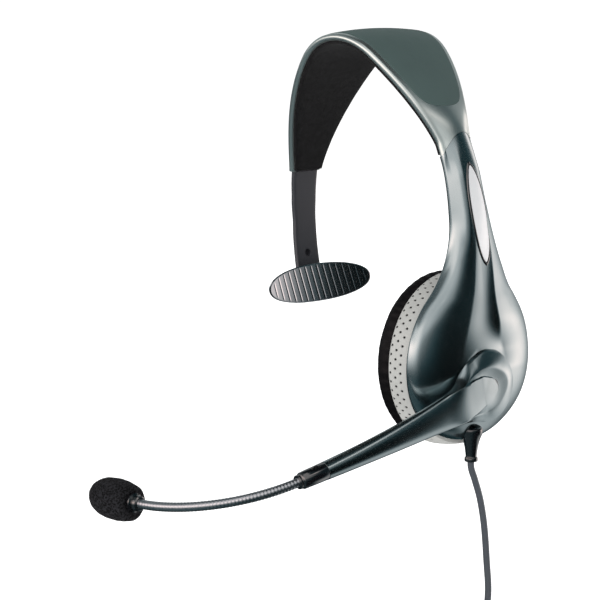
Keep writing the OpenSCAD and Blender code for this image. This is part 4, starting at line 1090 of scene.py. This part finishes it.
def make_temple_pad():
    """Rubber oval with thin slanted ribs that fade before its rolled edge"""
    face, pitch = carrier_x + carrier_t + rubber_t - 0.25, pad_len / (ribs + 1)
    slant, power, tip_share, rib_out = 0.38, 2 / oval_power, 0.04, 0.045
    long_half, high_half = pad_len / 2 + 0.3, pad_h / 2 - 0.1
    tip_turn = math.atan(slant * high_half / long_half)
    rim = [(long_half * math.cos(a) ** oval_power, high_half * math.sin(a) ** oval_power)
           for a in (tip_turn * i / 200 for i in range(400))]
    tip_y, tip_z = max(rim, key=lambda tip: tip[0] + slant * tip[1])
    reach = tip_y + slant * tip_z
    inner_reach = reach * math.cos(math.pi * tip_share)

    def edge_at(y, z):
        """1 in the middle of the oval, 0 on its outline"""
        return 1 - abs(y / long_half) ** power - abs(z / high_half) ** power

    def rib_ends(s):
        """Where the slanted line of one rib meets the oval"""
        middle = tip_z * s / reach
        ends = []
        for way in (-1, 1):
            near, far = middle, middle + way * 2 * high_half
            for _ in range(30):
                half_way = (near + far) / 2
                near, far = (half_way, far) if edge_at(s - slant * half_way, half_way) > 0 else (near, half_way)
            ends.append(near)
        return ends

    def place(u, v):
        s = -reach * math.cos(math.pi * u)
        if tip_share <= u <= 1 - tip_share:
            s = mix(-inner_reach, inner_reach, (u - tip_share) / (1 - 2 * tip_share))
        low, high = rib_ends(s)
        z = mix(low, high, 0.5 - 0.5 * math.cos(math.pi * v))
        y = s - slant * z
        rib, edge = abs((s / pitch) % 1 - 0.5) * pitch, edge_at(y, z)
        h = rib_out * ease(1 - rib / 0.5) * ease((edge - 0.1) / 0.12)
        roll = 0.3 * max(0, 1 - edge / 0.06) ** 2
        return face + h - roll + pad_dish(y), y, hinge_z + pad_lift + z

    obj = formed("temple_pad", 300, 26, place)
    thicken(obj, 0.9, outward=(1, 0, 0), even=False)
    put(obj, "temple", pad_rubber, ["temple_pad"], 50)


def make_pad_carrier():
    """Stiff back of the pad, with two ears for the hinge pin"""
    inset, flat_v, edge_v, flat_share = 1.9, 0.4, 0.6, 0.97

    def back(u, v):
        y, z = oval(TAU * u, inset)
        if v < flat_v:
            x, k = 0, v / flat_v * flat_share
        elif v < edge_v:
            b = math.pi / 2 * (v - flat_v) / (edge_v - flat_v)
            x, k = 0.4 * (1 - math.cos(b)), mix(flat_share, 1, math.sin(b))
        else:
            x, k = carrier_t + 0.05, 1 - (v - edge_v) / (1 - edge_v)
        return carrier_x + x + pad_dish(y * k), y * k, hinge_z + pad_lift + z * k

    plate = formed("carrier_plate", 120, 30, back)
    ears = []
    for side in (-1, 1):
        bpy.ops.mesh.primitive_cylinder_add(vertices=48, radius=barrel_r * MM, depth=2.2 * MM,
                                            location=(hinge_x * MM, side * 3.8 * MM, hinge_z * MM),
                                            rotation=(math.pi / 2, 0, 0))
        ear = bpy.context.object
        bpy.ops.object.transform_apply(location=True, rotation=True, scale=True)
        for corner in ear.data.vertices:
            if corner.co.x > hinge_x * MM + 1e-6:
                corner.co.x = (carrier_x + 0.4) * MM
                corner.co.z = (hinge_z + math.copysign(barrel_r, corner.co.z / MM - hinge_z)) * MM
        clean_mesh(ear)
        round_edges(ear, 0.25, angle=60)
        ears.append(ear)
    obj = joined("pad_carrier", plate, *ears)
    put(obj, "temple", satin_black, ["pad_carrier"])


# Strain relief, tie and plug

def make_strain_relief():
    profile = [(0, 0), (0, 3.6), (0.3, 3.95), (1.4, 4.0), (2.4, 3.75), (3.6, 3.25), (5, 2.75), (7, 2.3), (9.4, 2.0),
               (10.3, 1.95), (10.6, 2.3), (11.6, 2.35), (12, 2.05), (12, 1.25), (11, 1.2), (11, 0)]
    obj = turned("strain_relief", profile, (*relief, relief_top), (0, 0, -1))
    round_edges(obj, 0.12)
    put(obj, "headset", gloss_black, ["strain_relief"])


def make_tie():
    """Hook-and-loop strap drawn round the coil"""
    turns = coil_turns / coil_layers
    gap = cord_d / 2 + 0.35
    low_r, high_r = coil_mean - turns * coil_step / 2 - gap, coil_mean + turns * coil_step / 2 + gap
    low_z, high_z = coil_low - gap, coil_low + (coil_layers - 1) * coil_step + gap
    turn = math.radians(215)
    centre = ((low_r + high_r) / 2, (low_z + high_z) / 2)
    half = ((high_r - low_r) / 2, (high_z - low_z) / 2)

    def place(u, v):
        a = TAU * u
        r = centre[0] + half[0] * signed_power(math.cos(a), 0.3)
        z = centre[1] + half[1] * signed_power(math.sin(a), 0.3)
        across = (v - 0.5) * 4.0
        return (coil_c[0] + r * math.cos(turn) - across * math.sin(turn),
                coil_c[1] + r * math.sin(turn) + across * math.cos(turn), z)

    obj = formed("cord_tie", 96, 8, place)
    thicken(obj, 0.8, 1.0)
    put(obj, "headset", strap_cloth, ["cord_tie"])
    return obj


def rounded_block(name, size, at, edge, segments=4):
    bpy.ops.mesh.primitive_cube_add(size=1)
    obj = named(name)
    for corner in obj.data.vertices:
        corner.co = Vector([(c * s + p) * MM for c, s, p in zip(corner.co, size, at)])
    round_edges(obj, edge, segments)
    return obj


def make_plug():
    """Rubber grip with finger ridges on a flat metal plug"""
    mid = grip_y - grip_len / 2
    grip = rounded_block("plug_grip", (16, grip_len, 8), (plug_x, mid, plug_z), 2.4, 5)
    for i in range(5):
        for side in (-1, 1):
            tool = rounded_block("groove", (1.1, 1.4, 6), (plug_x + side * 8, mid - 5 + 2.5 * i, plug_z), 0.3, 2)
            cut(grip, tool)
    cuff = turned("plug_cuff", [(-1, 0), (-1, 3.4), (0, 3.4), (0.8, 2.7), (1.6, 2.6), (1.9, 2.2), (2.5, 2.2),
                                (2.8, 2.5), (3.4, 2.45), (3.7, 2.05), (4.3, 2.05), (4.6, 2.3), (5, 2.2), (5, 1.25),
                                (2, 1.22), (2, 0)], (plug_x, grip_y, plug_z), (0, 1, 0), 40)
    grip = joined("plug_grip", grip, cuff)
    put(grip, "headset", satin_black, ["plug_body"])
    front = grip_y - grip_len
    shell = rounded_block("plug_shell", (12, 19, 4.5), (plug_x, front - 9.5, plug_z), 0.5, 3)
    cut(shell, rounded_block("hollow", (11.2, 30, 3.7), (plug_x, front - 9.5, plug_z), 0.2, 2))
    for x in (-2.4, 2.4):
        cut(shell, rounded_block("latch", (2.4, 2.4, 9), (plug_x + x, front - 7.5, plug_z), 0.1, 1))
    put(shell, "headset", bright_steel, ["plug_shell"])
    return grip, shell


# Inner pieces keep their CAD shape

carried = {
    bright_steel: ["band_spring", "detent_spring", "cover_screws", "speaker_yoke", "speaker_top_plate", "pivot_shaft",
                   "retaining_clip", "friction_washer", "pad_pin", "mic_capsule"],
    warm_brass: ["voice_coil", "pivot_bushing", "plug_contacts"],
    satin_black: ["speaker_baffle", "speaker_basket", "speaker_diaphragm", "cushion_ring", "mic_housing",
                  "plug_tongue"],
    board_green: ["terminal_board"],
    magnet_grey: ["speaker_magnet"],
}


def dress_inner_pieces():
    for material, names in carried.items():
        for name in names:
            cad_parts[name].material_slots[0].material = material


# Light: a white room, and a tent of soft panels that only gloss sees

tent_r = 2.5 / MM


def make_room():
    world = bpy.data.worlds.new("white_room")
    bpy.context.scene.world = world
    world.use_nodes = True
    background = world.node_tree.nodes["Background"].inputs
    background["Color"].default_value = (1, 1, 1, 1)
    background["Strength"].default_value = 0.6
    world.cycles_visibility.glossy = False
    for name, at, size, power in (("key_light", (0.2, -1.2, 1.0), 0.7, 9), ("rim_light", (-0.6, 1.0, 0.7), 0.6, 6)):
        bpy.ops.object.light_add(type="AREA", location=at)
        lamp = bpy.context.object
        lamp.name = name
        lamp.data.size, lamp.data.energy = size, power
        lamp.rotation_euler = (-Vector(at)).to_track_quat("-Z", "Y").to_euler()
        lamp.visible_camera = lamp.visible_glossy = False
    view = bpy.context.scene.view_settings
    view.view_transform = "Standard"
    view.look = "None"


def tent_light(glow, turn, rise):
    """Brightness of the tent by bearing and height, both in degrees: panels, eaves over them, and a roof"""
    def ring_of(stops, bearing):
        """Brightness round the tent, from (bearing, brightness) stops"""
        return glow.node("ShaderNodeValToRGB", {"stops": [((a + 180) / 360, (k, k, k, 1)) for a, k in stops]},
                         {0: bearing / 360.0 + 0.5})

    def fade(signal, low, high):
        return glow.span(signal, low, high, 1.0, 0.0)

    slant = turn + glow.span(rise, -15.0, 14.0, -3.0, 2.0)
    panels = ring_of([(-180, 0.04), (-160, 0.1), (-133, 0.7), (-100, 0.68), (-60, 0.58), (-46, 0.44), (-30, 0.15),
                      (-5, 0.055), (12, 0.006), (28, 0.002), (40, 0.006), (47, 0.12), (53, 0.52), (60, 1.1),
                      (70, 1.22), (79, 0.95), (88, 0.55), (100, 0.25), (130, 0.12), (150, 0.04), (180, 0.04)], slant)
    eaves = ring_of([(-180, 0.12), (-140, 0.25), (-110, 1.1), (-68, 1.3), (-50, 1.25), (-37, 0.85), (-22, 0.85),
                     (-10, 0.7), (4, 0.48), (16, 0.18), (30, 0.05), (38, 0.04), (48, 0.04), (57, 0.05), (66, 0.1),
                     (74, 0.1), (88, 0.36), (130, 0.4), (180, 0.4)], turn)
    roof = ring_of([(-180, 0.12), (-100, 0.2), (-66, 0.7), (-50, 0.85), (-18, 0.75), (5, 1.1), (18, 1.5), (26, 0.9),
                    (34, 0.42), (46, 0.18), (56, 0.1), (64, 0.04), (115, 0.05), (138, 0.3), (180, 0.3)], turn)
    front, far_side = fade(turn, 20.0, 45.0), fade(turn, -15.0, 5.0)
    height = front * glow.span(rise, -15.0, 20.0, 0.1, 1.9) + (1.0 - front) * glow.span(rise, -45.0, 5.0, 0.1, 1.0)
    upper = front * glow.span(rise, 14.0, 26.0) + (1.0 - front) * glow.span(rise, -5.0, 13.0)
    top = glow.span(rise, 36.0, 43.0)
    roll_off = far_side + (1.0 - far_side) * glow.span(rise, 44.0, 53.0, 1.0, 0.04)
    neck_card = (glow.span(turn, 74.0, 84.0) * fade(turn, 112.0, 126.0)
                 * glow.span(rise, 2.0, 8.0) * fade(rise, 11.0, 17.0))
    low_card = (glow.span(rise, -52.0, -44.0) * fade(rise, -40.0, -26.0) * glow.span(turn, 25.0, 60.0)
                * fade(turn, 90.0, 120.0))
    return (panels * height * 1.6 * (1.0 - upper) + eaves * upper * (1.0 - top) + roof * top * roll_off
            + low_card * 0.45 + neck_card + 0.001)


def make_tent():
    def place(u, v):
        rise, a = math.pi * (v - 0.5), TAU * u
        return tent_r * math.cos(rise) * math.cos(a), tent_r * math.cos(rise) * math.sin(a), tent_r * math.sin(rise)

    sheet = formed("soft_tent", 64, 32, place)
    glow = Finish("tent_glow", (0, 0, 0), 1.0, emission_strength=1.0)
    x, y, z = glow.parts(glow.spot())
    turn = glow.node("ShaderNodeMath", {"operation": "ARCTAN2"}, {0: y, 1: x}) * (180 / math.pi)
    rise = glow.node("ShaderNodeMath", {"operation": "ARCSINE"}, {0: z / (tent_r * MM)}) * (180 / math.pi)
    light = tent_light(glow, turn, rise)
    deep = glow.span(light, 0.0, 0.2, 1.0, 0.0)
    tints = [light * (light * k + c + deep * d)
             for k, c, d in ((0.22, 0.86, -0.55), (0.02, 0.99, 0.0), (-0.04, 1.03, 0.15))]
    glow.set("Emission Color", glow.node("ShaderNodeCombineColor", None, dict(enumerate(tints))))
    glow.material.cycles.emission_sampling = "NONE"
    sheet.data.materials.append(glow.material)
    sheet.visible_camera = sheet.visible_diffuse = sheet.visible_shadow = sheet.visible_transmission = False


make_camera()
make_floor()
cord, cord_length = make_cord()
make_band()
make_inlay()
make_felt()
make_outer_shell()
make_inner_cover()
make_badge()
make_cushion()
make_boom()
make_collar()
make_gooseneck()
make_microphone()
make_slider()
make_temple_pad()
make_pad_carrier()
make_strain_relief()
tie = make_tie()
grip, plug_shell = make_plug()
dress_inner_pieces()
make_room()
make_tent()
